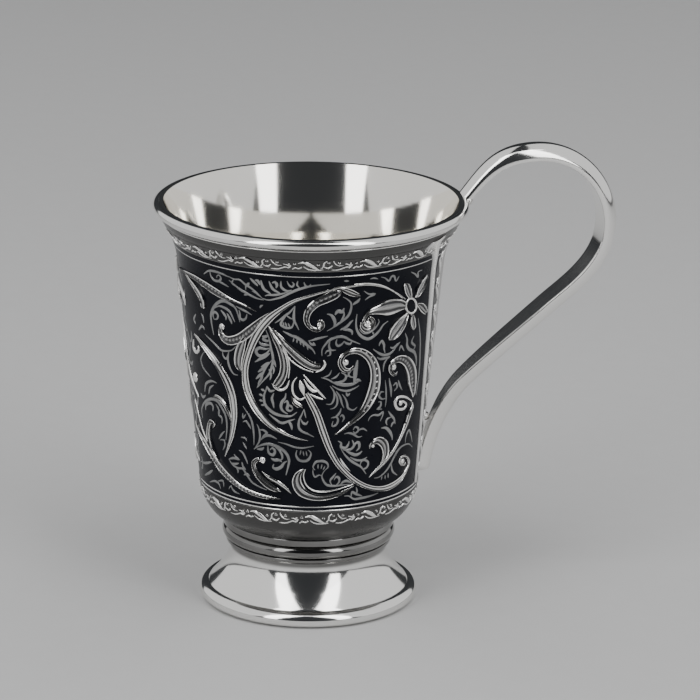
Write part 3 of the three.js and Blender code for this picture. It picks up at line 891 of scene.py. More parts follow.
BEADED_LEAVES = [HOOK_LEAF, TOP_CURL, RIGHT_LEAF, LEFT_SPEAR, BEADED_STEM, BEADED_BRANCH]
EDGE_STROKES = [EDGE_LEAF, EDGE_LINE, EDGE_TENDRIL, EDGE_SPRIG]
BARB_SPACE = 1.06
RUNG_COUNT = 13
RUNG_STRETCH = slice(5, 13)
RUNG_STEP = 0.5
RUNG_INNER = 0.05
RUNG_OUTER = 0.36
RUNG_SLANT = 0.22
RUNG_WIDTHS = (0.8, 2.2, 1.4)
CURL_SQUEEZE = 0.5
CURL_ROUNDNESS = 2
CURL_BEADS = [
    (222, 326.5, 3), (345.5, 362.5, 3.4), (393.6, 367, 3), (262.5, 459.8, 3.2), (319.5, 324.5, 2.6),
    (367.5, 323.5, 3.2), (400.5, 403, 2.4), (402.5, 461, 2.2), (373, 446, 1.8), (196, 377, 3.4),
    (301.5, 385.5, 2.4),
]


def met(across, down):
    """Where the sight line through a pixel meets the cup: the angle from the lens's side, and the height."""
    ray = ahead * PHOTO_FOCAL + right * (across - PHOTO_SIZE / 2) + up * (PHOTO_SIZE / 2 - down)
    reach = wall_foot[0]
    for _ in range(MEETING_TRIES):
        slope = off_axis.dot(ray.xy)
        spare = slope**2 - ray.xy.length_squared * (off_axis.length_squared - reach**2)
        share = (-slope - sqrt(max(spare, 0))) / ray.xy.length_squared
        height = stand.z + share * ray.z
        reach = cup_radius(height)
    spot = off_axis + ray.xy * share
    return -off_axis.angle_signed(spot), height


def traced(points):
    """Traced places laid round the cup: millimetres from the lens's side, height, and the stroke's width."""
    laid = []
    for across, down, width in points:
        angle, height = met(across, down)
        facing = max(cos(angle), LEAST_FACING)
        laid.append((angle * PANEL_RADIUS / MM, height / MM, width * PIXEL / MM / sqrt(facing)))
    return laid


def round_panel(along, height, lift):
    """A point on the wall: millimetres round the cup from the lens's side, and height."""
    return on_cup(LENS_HEADING + along * MM / PANEL_RADIUS, height * MM, lift)


def chased(bm, points, section, barb=0.0):
    """A traced stroke chased up from the wall."""
    stroke(bm, traced(points), round_panel, section, SCROLL_RELIEF, barb)


def bead(bm, x, y, radius, where, squeeze, roundness=1):
    """A bead half sunk in the cup at a place that where lays on it, and squeezed towards it."""
    middle = where(x, y, 0)
    out = (middle - Vector((AXIS_X, 0, middle.z))).normalized()
    matrix = Matrix.Translation(middle) @ Matrix.Scale(squeeze, 4, out)
    made = bmesh.ops.create_icosphere(bm, subdivisions=roundness, radius=radius, matrix=matrix)
    evenly_worn(bm, made["verts"], 1)


def rungs(bm, points, count):
    """Short slanted bars across the outer half of a leaf."""
    line = smooth_line(points, RUNG_STEP)
    for number in range(count):
        at = int((number + 0.5) / count * (len(line) - 1))
        x, y, width = line[at]
        run = Vector((line[at + 1][0] - x, line[at + 1][1] - y)).normalized()
        out = Vector((run.y, -run.x)) * width
        inner = Vector((x, y)) - out * RUNG_INNER
        outer = Vector((x, y)) + out * RUNG_OUTER - run * width * RUNG_SLANT
        places = (inner, inner.lerp(outer, 0.5), outer)
        bar = [(*place, wide) for place, wide in zip(places, RUNG_WIDTHS)]
        chased(bm, bar, DOMED)


def turned_copy(bm):
    """Adds the motif once more, turned to the far side of the mug."""
    copy = bmesh.ops.duplicate(bm, geom=[*bm.verts, *bm.edges, *bm.faces])
    corners = [part for part in copy["geom"] if isinstance(part, bmesh.types.BMVert)]
    bmesh.ops.rotate(bm, cent=(AXIS_X, 0, 0), matrix=Matrix.Rotation(-MOTIF_TURN, 3, "Z"), verts=corners)


bm = bmesh.new()
for points in PLAIN_STEMS:
    chased(bm, points, DOMED)
for points in FLUTED_STEMS:
    chased(bm, points, FLUTED)
for points in VEINED_LEAVES:
    chased(bm, points, RIMMED)
for points in BEADED_LEAVES:
    chased(bm, points, RIMMED, BARB_SPACE)
chased(bm, RIGHT_SCROLL, RIMMED)
rungs(bm, RIGHT_SCROLL[RUNG_STRETCH], RUNG_COUNT)
ring_x, ring_y, ring_width = FLOWER_RING
ring_turns = [2 * pi * i / ROUND_STEPS for i in range(ROUND_STEPS + 1)]
heart_x, heart_y = FLOWER_HEART
chased(bm, [(heart_x + ring_x * cos(t), heart_y + ring_y * sin(t), ring_width) for t in ring_turns], DOMED)
for along, height, size in traced(CURL_BEADS):
    bead(bm, along, height, size * MM, round_panel, CURL_SQUEEZE, CURL_ROUNDNESS)
turned_copy(bm)
for points in EDGE_STROKES:
    chased(bm, points, DOMED)
closed_ends(bm)
finished("raised_scrolls", bm, "chased_silver", CHASED_SILVER)

# Foliage: flat sprigs of silver left showing in the niello between the scrolls, level with its face.
# The engraver left them standing when the ground was cut away, and they are duller than the scrolls.
FOLIAGE_RELIEF = 0.07 * MM
LEVEL = mirrored([(-1, 0, 0.45), (-0.75, 1, 0.6), (0, 1, 0.66)])
SPRIG_STEP = 1.8
SPRIG_TIP = 0.25
SPRIG_FULLNESS = 1.3
FOLIAGE_DARK = (0.04, 0.045, 0.055, 1)
FOLIAGE_LIGHT = (0.62, 0.62, 0.61, 1)
SPRAY_STEM = [
    (-38.5, 34, 0.2), (-41.5, 42, 0.5), (-37.5, 50, 0.5), (-41.5, 58, 0.5), (-37.5, 66, 0.5),
    (-41.5, 74, 0.5), (-38.5, 83, 0.2),
]
SPRAY_STEP = 0.5
SPRAY_LEAF_SPACE = 6
# A leaf of the spray: millimetres out from the stem and on along it, and the stroke's width.
SPRAY_LEAF = [(0, 0, 0.2), (1.2, 0.3, 0.8), (2.2, 1.4, 0.9), (2.4, 2.8, 0.15)]
# Each sprig has its greatest width in pixels and the places that it passes through.
SPRIGS = [
    (2, [(204, 274), (208, 271), (213, 271), (220, 273), (229, 277)]),
    (2, [(210, 271), (211, 276), (214, 280), (219, 281), (221, 278), (219, 275),
         (217, 276), (217, 278)]),
    (1.6, [(216, 280), (222, 283), (229, 287)]),
    (1.9, [(228, 276), (234, 279), (240, 280), (246, 285), (251, 288), (257, 293), (262, 298)]),
    (2, [(229, 280), (236, 286), (241, 290), (248, 294), (256, 298), (264, 300)]),
    (1.6, [(234, 279), (232, 283), (236, 286)]),
    (1.6, [(234, 285), (238, 287)]),
    (1.8, [(241, 291), (245, 292)]),
    (1.8, [(244, 295), (249, 294)]),
    (1.6, [(246, 290), (246, 286), (249, 283), (248, 287)]),
    (2.4, [(250, 278), (254, 282), (258, 286)]),
    (2.6, [(255, 280), (258, 281), (260, 285)]),
    (2.6, [(261, 280), (262, 285), (264, 289), (268, 292), (271, 294)]),
    (2.4, [(269, 281), (271, 286), (274, 290), (280, 293)]),
    (2.6, [(272, 283), (275, 282), (277, 285), (276, 288)]),
    (2.2, [(281, 281), (281, 286), (283, 289), (287, 291), (292, 290)]),
    (1.8, [(287, 281), (289, 285), (292, 287), (294, 284), (292, 282)]),
    (1.6, [(298, 281), (297, 285), (300, 288)]),
    (1.6, [(304, 282), (305, 285), (308, 287), (311, 284)]),
    (2.2, [(262, 298), (268, 300), (275, 299), (282, 297), (290, 293), (300, 289),
           (312, 286), (330, 284)]),
    (2, [(265, 296), (268, 295), (274, 295), (281, 294), (288, 292)]),
    (1.4, [(252, 291), (256, 293), (261, 297)]),
    (2.4, [(214, 335), (212, 325), (211, 315), (214, 307), (219, 302), (224, 301),
           (230, 304), (236, 309), (240, 322)]),
    (2.2, [(215, 308), (219, 306), (225, 308), (230, 312), (233, 318), (235, 322)]),
    (2.2, [(221, 310), (224, 314), (226, 317), (226, 320)]),
    (2.2, [(227, 313), (229, 317), (231, 321), (232, 324)]),
    (2, [(214, 319), (213, 314), (215, 312), (218, 315), (217, 319), (214, 319)]),
    (1.8, [(236, 306), (241, 309), (247, 312), (252, 315)]),
    (2.2, [(239, 310), (240, 314), (240, 318), (243, 320), (246, 318), (247, 314)]),
    (1.8, [(260, 308), (261, 306), (263, 305)]),
    (2, [(275, 323), (281, 319), (286, 315), (290, 312), (295, 306)]),
    (2.2, [(286, 316), (282, 321), (281, 325), (287, 328), (292, 327), (294, 321)]),
    (1.4, [(284, 326), (283, 322)]),
    (1.4, [(287, 327), (285, 322)]),
    (1.4, [(290, 327), (288, 323)]),
    (1.4, [(286, 315), (290, 318), (293, 319)]),
    (2.2, [(295, 306), (294, 313), (294, 320), (297, 326), (299, 330)]),
    (3, [(283, 331), (290, 335), (296, 337), (302, 341), (307, 345), (313, 350), (315, 354)]),
    (1.4, [(294, 338), (293, 342)]),
    (1.4, [(297, 339), (297, 343)]),
    (1.4, [(300, 341), (301, 345)]),
    (1.4, [(303, 343), (304, 347)]),
    (1.4, [(307, 345), (308, 350)]),
    (2, [(308, 341), (313, 340), (320, 338), (328, 336)]),
    (2.2, [(309, 341), (311, 344), (315, 345), (313, 342)]),
    (2.2, [(266, 330), (269, 338), (271, 348), (273, 358), (272, 366), (269, 374),
           (263, 381), (258, 387)]),
    (2.8, [(268, 335), (265, 337), (262, 336)]),
    (2.4, [(266, 336), (263, 339), (267, 341), (270, 339)]),
    (2.6, [(270, 345), (266, 345), (261, 344), (259, 341)]),
    (2.8, [(270, 348), (265, 349), (259, 348), (256, 351), (258, 355), (262, 356),
           (267, 353), (270, 349)]),
    (2.6, [(270, 353), (266, 356), (260, 359), (255, 362)]),
    (2, [(273, 358), (275, 364), (276, 367)]),
    (2, [(272, 364), (274, 370), (273, 374)]),
    (2, [(269, 369), (271, 375), (270, 380)]),
    (2.4, [(269, 362), (265, 365), (261, 367)]),
    (2.4, [(266, 366), (261, 370), (258, 372)]),
    (2.4, [(263, 372), (259, 376), (256, 379)]),
    (2.2, [(263, 376), (260, 381), (258, 384)]),
    (1.8, [(272, 360), (267, 366), (263, 373), (260, 381), (257, 388)]),
    (2.8, [(267, 386), (266, 390), (264, 396), (265, 404), (270, 410), (276, 414),
           (284, 416), (291, 416), (297, 412)]),
    (2.2, [(265, 391), (261, 389)]),
    (2.2, [(263, 396), (259, 394)]),
    (2.2, [(263, 401), (259, 400)]),
    (2, [(265, 405), (261, 405)]),
    (2.2, [(267, 386), (270, 391), (275, 390)]),
    (2.4, [(274, 393), (272, 398), (273, 403), (274, 408)]),
    (2.2, [(269, 414), (275, 419), (282, 423), (289, 421), (295, 419)]),
    (2.6, [(286, 393), (285, 398), (282, 402), (281, 407), (283, 411), (288, 414)]),
    (2.6, [(284, 403), (287, 401), (288, 405), (287, 409), (290, 411), (293, 409)]),
    (2, [(288, 405), (291, 406), (293, 409)]),
    (2.2, [(304, 409), (302, 414), (299, 421), (299, 428), (303, 432), (308, 434), (314, 437)]),
    (1.4, [(304, 409), (305, 414), (306, 418)]),
    (2.2, [(301, 419), (303, 423), (306, 424), (308, 421)]),
    (2.4, [(288, 421), (291, 425), (292, 430)]),
    (1.9, [(257, 424), (259, 429), (260, 436), (259, 442), (255, 448)]),
    (2.4, [(259, 430), (263, 430), (267, 433), (264, 436), (261, 440)]),
    (2.2, [(262, 439), (266, 436), (271, 436), (277, 439)]),
    (2.9, [(254, 449), (259, 446), (266, 444), (273, 445), (280, 448), (286, 453),
           (289, 460), (288, 467), (286, 475)]),
    (2.4, [(257, 449), (262, 449), (264, 447)]),
    (2.6, [(268, 445), (268, 449), (269, 453), (273, 455), (275, 451), (272, 448), (270, 450)]),
    (2.2, [(275, 447), (279, 450), (282, 455), (282, 459), (279, 460)]),
    (2.8, [(271, 458), (274, 460), (279, 460), (282, 462)]),
    (3, [(274, 464), (273, 467), (276, 469), (281, 467), (284, 463), (287, 461)]),
    (2, [(229, 459), (233, 465), (238, 468), (243, 469), (247, 475), (252, 482),
         (258, 486), (267, 490)]),
    (2, [(229, 459), (234, 458), (239, 460)]),
    (1.6, [(234, 454), (236, 457), (240, 460)]),
    (2, [(231, 463), (235, 464), (239, 463)]),
    (1.8, [(236, 467), (238, 470), (238, 473)]),
    (2, [(242, 462), (243, 466), (246, 470)]),
    (2.2, [(244, 475), (247, 474), (250, 476)]),
    (2, [(239, 450), (243, 453), (246, 459), (248, 464)]),
    (2, [(243, 406), (247, 412), (251, 419), (253, 427), (254, 437), (254, 445)]),
    (1.8, [(243, 413), (243, 418), (246, 414)]),
    (2, [(243, 422), (246, 421), (249, 425), (251, 429)]),
    (1.5, [(241, 437), (245, 438), (247, 441)]),
    (1.5, [(243, 442), (245, 446), (247, 449)]),
    (1.7, [(205, 334), (210, 339), (216, 345), (221, 350), (226, 351), (232, 350), (236, 346)]),
    (1.7, [(223, 351), (223, 355), (226, 359), (228, 355), (229, 351)]),
    (2.1, [(229, 352), (228, 360), (230, 368), (234, 374), (238, 375)]),
    (1.7, [(199, 330), (202, 326), (205, 330)]),
    (1.6, [(196, 314), (194, 319), (196, 324)]),
    (1.6, [(201, 313), (203, 317), (204, 323)]),
    (1.6, [(204, 352), (201, 359), (203, 367), (208, 374), (211, 377)]),
    (1.8, [(205, 392), (206, 384), (211, 381), (217, 383)]),
    (1.6, [(209, 394), (210, 388), (214, 385)]),
    (1.8, [(201, 393), (203, 397), (206, 395)]),
    (2.2, [(203, 418), (202, 409), (205, 402), (211, 399), (217, 401), (222, 408),
           (226, 417), (227, 428), (226, 440)]),
    (2.2, [(206, 410), (206, 405), (210, 403), (213, 406), (213, 411)]),
    (2, [(216, 404), (219, 410), (219, 415), (222, 418), (222, 424)]),
    (1.6, [(219, 439), (222, 434), (225, 431)]),
    (1.7, [(220, 440), (224, 440), (225, 445), (223, 450)]),
    (1.7, [(210, 482), (215, 481), (219, 484), (221, 489)]),
    (1.6, [(218, 481), (223, 481), (224, 487)]),
    (1.7, [(229, 489), (231, 486), (234, 491), (240, 494)]),
    (1.7, [(201, 461), (205, 463), (212, 462)]),
    (1.8, [(205, 475), (209, 473), (213, 470)]),
    (2.2, [(327, 331), (334, 327), (341, 322), (348, 316), (351, 309), (351, 303),
           (347, 299), (343, 297)]),
    (2.8, [(327, 314), (331, 315), (334, 319), (335, 324), (333, 328)]),
    (3.2, [(335, 315), (338, 311), (342, 312), (344, 308)]),
    (1.7, [(343, 309), (344, 315), (341, 321), (339, 323)]),
    (2.6, [(353, 305), (355, 303), (358, 301), (360, 298)]),
    (2.6, [(340, 330), (346, 327), (350, 323), (353, 320)]),
    (2.4, [(343, 330), (349, 330), (352, 332), (352, 335)]),
    (2.5, [(357, 314), (356, 322), (357, 330), (361, 336), (368, 339), (374, 336),
           (379, 331), (383, 325), (388, 321)]),
    (1.7, [(359, 329), (363, 333), (368, 333), (373, 330), (376, 327), (379, 322), (378, 319)]),
    (1.6, [(372, 331), (374, 335)]),
    (1.8, [(364, 291), (369, 294), (375, 294), (369, 297), (365, 300)]),
    (1.5, [(370, 279), (374, 278), (378, 279)]),
    (1.8, [(381, 277), (385, 278), (389, 281), (391, 277), (394, 276), (396, 281), (399, 276)]),
    (1.6, [(411, 272), (415, 274), (418, 277), (418, 272), (422, 270)]),
    (1.8, [(344, 281), (349, 281)]),
    (2.3, [(322, 356), (322, 350), (325, 345), (330, 340), (337, 337), (344, 337),
           (350, 340), (355, 342), (360, 344)]),
    (1.9, [(330, 341), (329, 346), (331, 350), (336, 350)]),
    (2, [(337, 339), (336, 343), (338, 346), (342, 344), (344, 341)]),
    (2, [(344, 341), (346, 343), (350, 344), (352, 341)]),
    (1.8, [(325, 354), (327, 351), (330, 351), (330, 355), (327, 356)]),
    (2.2, [(373, 349), (377, 352), (383, 355), (389, 354), (393, 351), (396, 347)]),
    (2.2, [(379, 346), (380, 343), (382, 341), (384, 345), (384, 349), (385, 353)]),
    (2.2, [(390, 347), (393, 348), (396, 346), (400, 342)]),
    (1.7, [(399, 351), (401, 346), (404, 351)]),
    (2.1, [(377, 357), (380, 359), (386, 358), (390, 356)]),
    (1.6, [(383, 372), (384, 364), (387, 359), (390, 357)]),
    (2.3, [(405, 333), (407, 339), (407, 345), (409, 349), (414, 352), (416, 358), (416, 366)]),
    (1.8, [(414, 336), (412, 340), (412, 343), (415, 346), (413, 350)]),
    (1.5, [(418, 318), (420, 335), (420, 352), (419, 372), (416, 395)]),
    (3.8, [(357.5, 360), (356.5, 366), (355.5, 371), (355, 377), (354, 384)]),
    (1.7, [(355, 368), (351, 370.5), (348.5, 374.5), (351, 377), (356, 377)]),
    (3, [(359, 381), (353, 384), (345, 385), (338, 384), (332, 382)]),
    (2.6, [(355, 381), (358, 380), (361, 381)]),
    (2.4, [(341, 372.5), (345, 374.5), (346, 377.5), (343, 381), (337, 382.5), (332, 382)]),
    (1.5, [(345, 376), (350, 376)]),
    (1.9, [(332, 385.5), (339, 389.5), (347, 391), (353, 389), (359, 385.5)]),
    (2.2, [(346, 392), (347.5, 395.5), (350, 393)]),
    (1.4, [(321, 377.5), (328, 379.5), (333, 382.5), (338, 385.5)]),
    (1.6, [(331, 379), (336, 377), (339.5, 372.5)]),
    (1.4, [(331.5, 370), (329, 375), (323, 377.5)]),
    (1.8, [(330, 386), (334, 392), (334, 399), (331, 404), (326, 404)]),
    (1.8, [(333, 390), (337, 397), (337, 404), (334, 408), (330, 409)]),
    (1.9, [(336, 391), (340, 397), (342, 404), (344, 408)]),
    (1.9, [(342, 394), (345, 398), (347, 403), (348, 408), (353, 410), (357, 407)]),
    (2, [(341, 408), (340, 412), (337, 416), (333, 418)]),
    (2, [(331, 418), (336, 417), (338, 420), (336, 425), (332, 426), (333, 421)]),
    (1.9, [(340, 417), (342, 415), (344, 418), (342, 422)]),
    (2, [(344, 434), (348, 433), (353, 434), (358, 437), (362, 436)]),
    (2, [(353, 430), (355, 427), (358, 428), (358, 431), (355, 433), (353, 431)]),
    (1.7, [(358, 431), (361, 429), (364, 429), (367, 431)]),
    (2.6, [(338, 441), (341, 443), (341, 447), (345, 448), (348, 445), (349, 441)]),
    (2.4, [(352, 440), (354, 445), (351, 449), (347, 450), (343, 450)]),
    (2.6, [(354, 447), (356, 443), (359, 443), (359, 448), (356, 451)]),
    (2.7, [(345, 450), (350, 453), (356, 455), (360, 453), (362, 451)]),
    (2.1, [(341, 449), (345, 455), (350, 460), (356, 464), (361, 467), (366, 474)]),
    (1.9, [(350, 457), (356, 460), (362, 460), (367, 457)]),
    (2, [(360, 466), (361, 462), (364, 460), (368, 462), (367, 467), (363, 469), (361, 466)]),
    (1.9, [(368, 421), (370, 417), (374, 415), (379, 415), (383, 412), (382, 417), (380, 421)]),
    (2, [(388, 411), (391, 415), (394, 419), (395, 424)]),
    (1.9, [(391, 417), (387, 419), (386, 422), (387, 425)]),
    (1.9, [(395, 421), (392, 424), (391, 427)]),
    (2.6, [(381, 428), (386, 428), (390, 432), (392, 437), (392, 440)]),
    (1.5, [(385, 380), (386, 390), (386, 400), (385, 407)]),
    (1.9, [(384, 392), (381, 392), (379, 396), (382, 399), (386, 398)]),
    (2, [(378, 402), (381, 402), (380, 407), (377, 409), (382, 409)]),
    (2.2, [(389, 378), (390, 384), (391, 390), (391, 397)]),
    (1.8, [(393, 386), (396, 383), (397, 387), (394, 391)]),
    (1.7, [(398, 380), (400, 386), (402, 390)]),
    (2, [(374, 478), (379, 477), (385, 472), (390, 465), (394, 457), (399, 449),
         (404, 445), (409, 444), (412, 447)]),
    (1.7, [(391, 463), (392, 470), (394, 473), (397, 475)]),
    (1.3, [(382, 476), (381, 480)]),
    (1.3, [(385, 475), (385, 479)]),
    (1.3, [(388, 473), (388, 478)]),
    (1.5, [(405, 443), (406, 436), (409, 430), (411, 436), (412, 442)]),
    (2.4, [(315, 470), (313, 467), (316, 462), (322, 461), (327, 463), (328, 467), (325, 470)]),
    (2.1, [(325, 470), (322, 475), (323, 480), (327, 485), (334, 486), (342, 485), (350, 484)]),
    (1.3, [(318, 469), (318, 464)]),
    (1.3, [(321, 469), (322, 464)]),
    (1.3, [(323, 470), (325, 466)]),
    (1.6, [(313, 469), (313, 473), (315, 477), (319, 475), (322, 476)]),
    (2, [(336, 473), (333, 477), (330, 481), (332, 485)]),
    (2.2, [(334, 480), (336, 477), (339, 478), (339, 482), (336, 485)]),
    (2.4, [(340, 485), (343, 482), (347, 481), (352, 483)]),
    (1.7, [(278, 442), (286, 444), (294, 447), (302, 448), (309, 447), (314, 446)]),
    (2.5, [(297, 450), (296, 455), (299, 460), (305, 461), (309, 459), (311, 453), (308, 450)]),
    (1.2, [(301, 450), (300, 455)]),
    (1.2, [(303, 451), (304, 456)]),
    (1.2, [(306, 451), (307, 456)]),
    (2, [(344, 496), (349, 496), (354, 499), (362, 498), (370, 496), (378, 493)]),
    (2.2, [(351, 497), (352, 492), (356, 494), (362, 496)]),
    (1.7, [(356, 487), (357, 491), (356, 494)]),
]


def dull_silver():
    """Silver left level in the niello: grey, softly scratched, darker in places."""
    finish = Finish("dull_silver")
    worn = finish.kept("worn")
    clouds = finish.noise(finish.place(), scale=420.0)
    patches = finish.noise(finish.place(), scale=90.0, detail=1.0)
    shine = worn * (0.1 + 0.5 * clouds + 0.8 * patches)
    return finish.surface({
        "Base Color": finish.blend(shine, FOLIAGE_DARK, FOLIAGE_LIGHT),
        "Metallic": 1.0,
        "Roughness": 0.3 + 0.14 * clouds,
        "Normal": finish.bump(clouds, strength=0.12, distance=0.04 * MM),
    })


def sprig(bm, width, places):
    """A flat leaf or stem that swells between its two pointed ends."""
    line = smooth_line(places, SPRIG_STEP)
    last = len(line) - 1
    swell = [SPRIG_TIP + (1 - SPRIG_TIP) * sin(pi * i / last) for i in range(last + 1)]
    points = [(x, y, SPRIG_FULLNESS * width * share) for (x, y), share in zip(line, swell)]
    stroke(bm, traced(points), round_panel, LEVEL, FOLIAGE_RELIEF)


def winding_spray(bm):
    """A winding stem up the side of the motif, with leaves to its left and right by turns."""
    line = smooth_line(SPRAY_STEM, SPRAY_STEP)
    stroke(bm, SPRAY_STEM, round_panel, LEVEL, FOLIAGE_RELIEF)
    for number, at in enumerate(range(0, len(line) - 1, SPRAY_LEAF_SPACE)):
        foot = Vector(line[at][:2])
        run = (Vector(line[at + 1][:2]) - foot).normalized()
        side = Vector((-run.y, run.x)) * (1 if number % 2 else -1)
        leaf = [(*(foot + side * out + run * on), width) for out, on, width in SPRAY_LEAF]
        stroke(bm, leaf, round_panel, LEVEL, FOLIAGE_RELIEF)


DULL_SILVER = dull_silver()
bm = bmesh.new()
for width, places in SPRIGS:
    sprig(bm, width, places)
winding_spray(bm)
turned_copy(bm)
closed_ends(bm)
finished("niello_foliage", bm, "niello", DULL_SILVER)

# Upper and lower borders: narrow bands of chased leaves and curls that run round the cup
# above and below the panel. The leaves are rubbed bright, and their ground is the cup's satin, painted dark
# as shade.
UPPER_LOW, UPPER_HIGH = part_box("upper_border")
LOWER_LOW, LOWER_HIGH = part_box("lower_border")
BORDER_GROUND = 0.05 * MM
BORDER_RELIEF = 0.5 * MM
BORDER_UNIT = 14.2
UPPER_UNITS = 15
LOWER_UNITS = 12
# Each stroke has places along and across the band, in millimetres, with its width at each.
BORDER_STROKES = [
    [(-1.0, -0.35, 0.35), (0, -0.65, 0.7), (0.85, 0, 0.4)],
    [(1.0, 1.3, 0.3), (1.5, 0.45, 0.45), (2.3, -0.1, 0.4), (3.4, -0.1, 0.25)],
    [(0.7, -1.2, 0.3), (2.2, -1.2, 0.5), (3.4, -0.8, 0.5), (4.3, -0.5, 0.5), (5.0, -0.7, 0.5),
     (5.5, 0.1, 0.6)],
    [(3.8, 0.3, 0.3), (4.6, 0.15, 0.45), (4.9, -0.2, 0.4), (5.2, 0.6, 0.5)],
    [(5.8, -1.05, 0.4), (6.5, -0.6, 0.55), (7.3, -0.8, 0.5), (8.0, -0.35, 0.55)],
    [(7.2, 0.6, 0.3), (8.5, 0.85, 0.8), (9.8, 0.25, 1.15), (11.0, -0.55, 0.9), (12.0, -1.1, 0.25)],
    [(8.4, -0.25, 0.3), (9.4, -0.9, 0.5), (10.8, -1.2, 0.5), (13.0, -1.1, 0.3)],
    [(12.4, -0.8, 0.3), (13.0, -0.2, 0.5), (13.1, 0.7, 0.45), (13.8, 1.25, 0.35)],
]
BORDER_DOTS = [(0, 0.85), (2.4, 0.75), (6.4, 0.5), (11.8, 0.3)]
BORDER_DOT = 0.42 * MM
DOT_SQUEEZE = 1.0


def border(name, low, high, units):
    """A band of chased leaves round the cup, in a number of like units."""
    middle = (low + high) / 2
    bm = bmesh.new()
    band = [(cup_radius(z), z) for z in (low, low + (high - low) / 3, high - (high - low) / 3, high)]
    turned(bm, [*shifted(band, BORDER_GROUND), *reversed(shifted(band, -STROKE_SUNK))])
    # The ground takes the satin, which is painted dark as shade on the bowl and the neck.
    for face in bm.faces:
        face.material_index = 1
    for number in range(units):

        def where(along, across, lift):
            angle = 2 * pi * (number + along / BORDER_UNIT) / units
            return on_cup(angle, middle + across * MM, lift)

        for points in BORDER_STROKES:
            stroke(bm, points, where, DOMED, BORDER_RELIEF)
        for along, across in BORDER_DOTS:
            bead(bm, along, across, BORDER_DOT, where, DOT_SQUEEZE)
    closed_ends(bm)
    return finished(name, bm, "chased_silver", CHASED_SILVER, SATIN_SILVER)


upper_band = border("upper_leaf_band", UPPER_LOW.z, UPPER_HIGH.z, UPPER_UNITS)
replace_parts(upper_band, "upper_border")
lower_band = border("lower_leaf_band", LOWER_LOW.z, LOWER_HIGH.z, LOWER_UNITS)
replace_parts(lower_band, "lower_border")

# Side borders: a chased strip down each end of the panel, towards the handle.
# Leaves and curls climb it in a row on a ground painted near-black as shade.
SIDE_LOW, SIDE_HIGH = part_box("near_side_border")
SIDE_WIDTH = 2.6
SIDE_UNITS = 9
SIDE_ROWS = 30
SIDE_COLUMNS = 4
# Painted shade: the strip's ground is given a near-black colour that stands in for the dark surroundings it
# reflects.
PAINTED_SHADE_GROUND_SHINE = 0.06
# Each stroke has places across the strip in millimetres and up a unit as a share, with its width at each.
SIDE_STROKES = [
    [(-2.1, 0.02, 0.3), (-1.8, 0.2, 0.8), (-1.1, 0.4, 1.0), (-0.6, 0.6, 0.3)],
    [(-0.5, 0.5, 0.3), (-0.7, 0.7, 0.6), (-1.5, 0.85, 0.7), (-2.1, 0.7, 0.5), (-1.7, 0.6, 0.2)],
    [(-2.3, 0.45, 0.2), (-2.2, 0.6, 0.4), (-2.3, 0.95, 0.2)],
]


def side_border(name, side):
    """A climbing strip of leaves at one side of the handle."""
    low = SIDE_LOW.z / MM
    high = SIDE_HIGH.z / MM
    where = beside_strip(side)

    def ground(across, climb, lift):
        return where(-SIDE_WIDTH * across, low + (high - low) * climb, lift)

    bm = bmesh.new()
    plate(bm, SIDE_COLUMNS, SIDE_ROWS, ground, (BORDER_GROUND, -STROKE_SUNK))
    evenly_worn(bm, bm.verts, PAINTED_SHADE_GROUND_SHINE)
    rise = (high - low) / SIDE_UNITS
    for number in range(SIDE_UNITS):
        for points in SIDE_STROKES:
            climbed = [(x, low + rise * (number + share), width) for x, share, width in points]
            stroke(bm, climbed, where, DOMED, BORDER_RELIEF)
    closed_ends(bm)
    return finished(name, bm, "chased_silver", CHASED_SILVER)


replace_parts(side_border("near_leaf_strip", -1), "near_side_border")
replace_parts(side_border("far_leaf_strip", 1), "far_side_border")

# Handle: one strap of half-round section, forged from bar, bent to a high loop and polished.
# It is slender where it leaves the lip, and its tail lies along the wall.
RIM_END_WIDTH = 5.4 * MM
RIM_END_CROWN = 1.9 * MM
STRAP_WIDTH = 7.8 * MM
STRAP_EDGE = 0.7 * MM
STRAP_CROWN = 3.2 * MM
TAIL_WIDTH = 3.4 * MM
TAIL_EDGE = 1.5 * MM
TAIL_CROWN = 1.9 * MM
TAIL_RISE = 0.1 * MM
KNEE_RISE = 23.5 * MM
KNEE_OUT = 7.9 * MM
KNEE_SLOPE = radians(45)
STRUT_DOWN = 19.2 * MM
STRUT_IN = 14.2 * MM
ELBOW_DROP = 16.6 * MM
HANDLE_REACH = 34.1 * MM
CROWN_OUT = 17.5 * MM
CROWN_RISE = 7.6 * MM
SPRING_OUT = 6.4 * MM
SPRING_RISE = 7.9 * MM
RIM_JOINT_DROP = 3.4 * MM
RIM_JOINT_SUNK = 0.4 * MM
JOINT_SEAM = 0.3 * MM
STRAP_STEPS = 40
QUARTER_ROUND = 0.5523
KNEE_EASE = 0.25
TAIL_EASE = 0.4


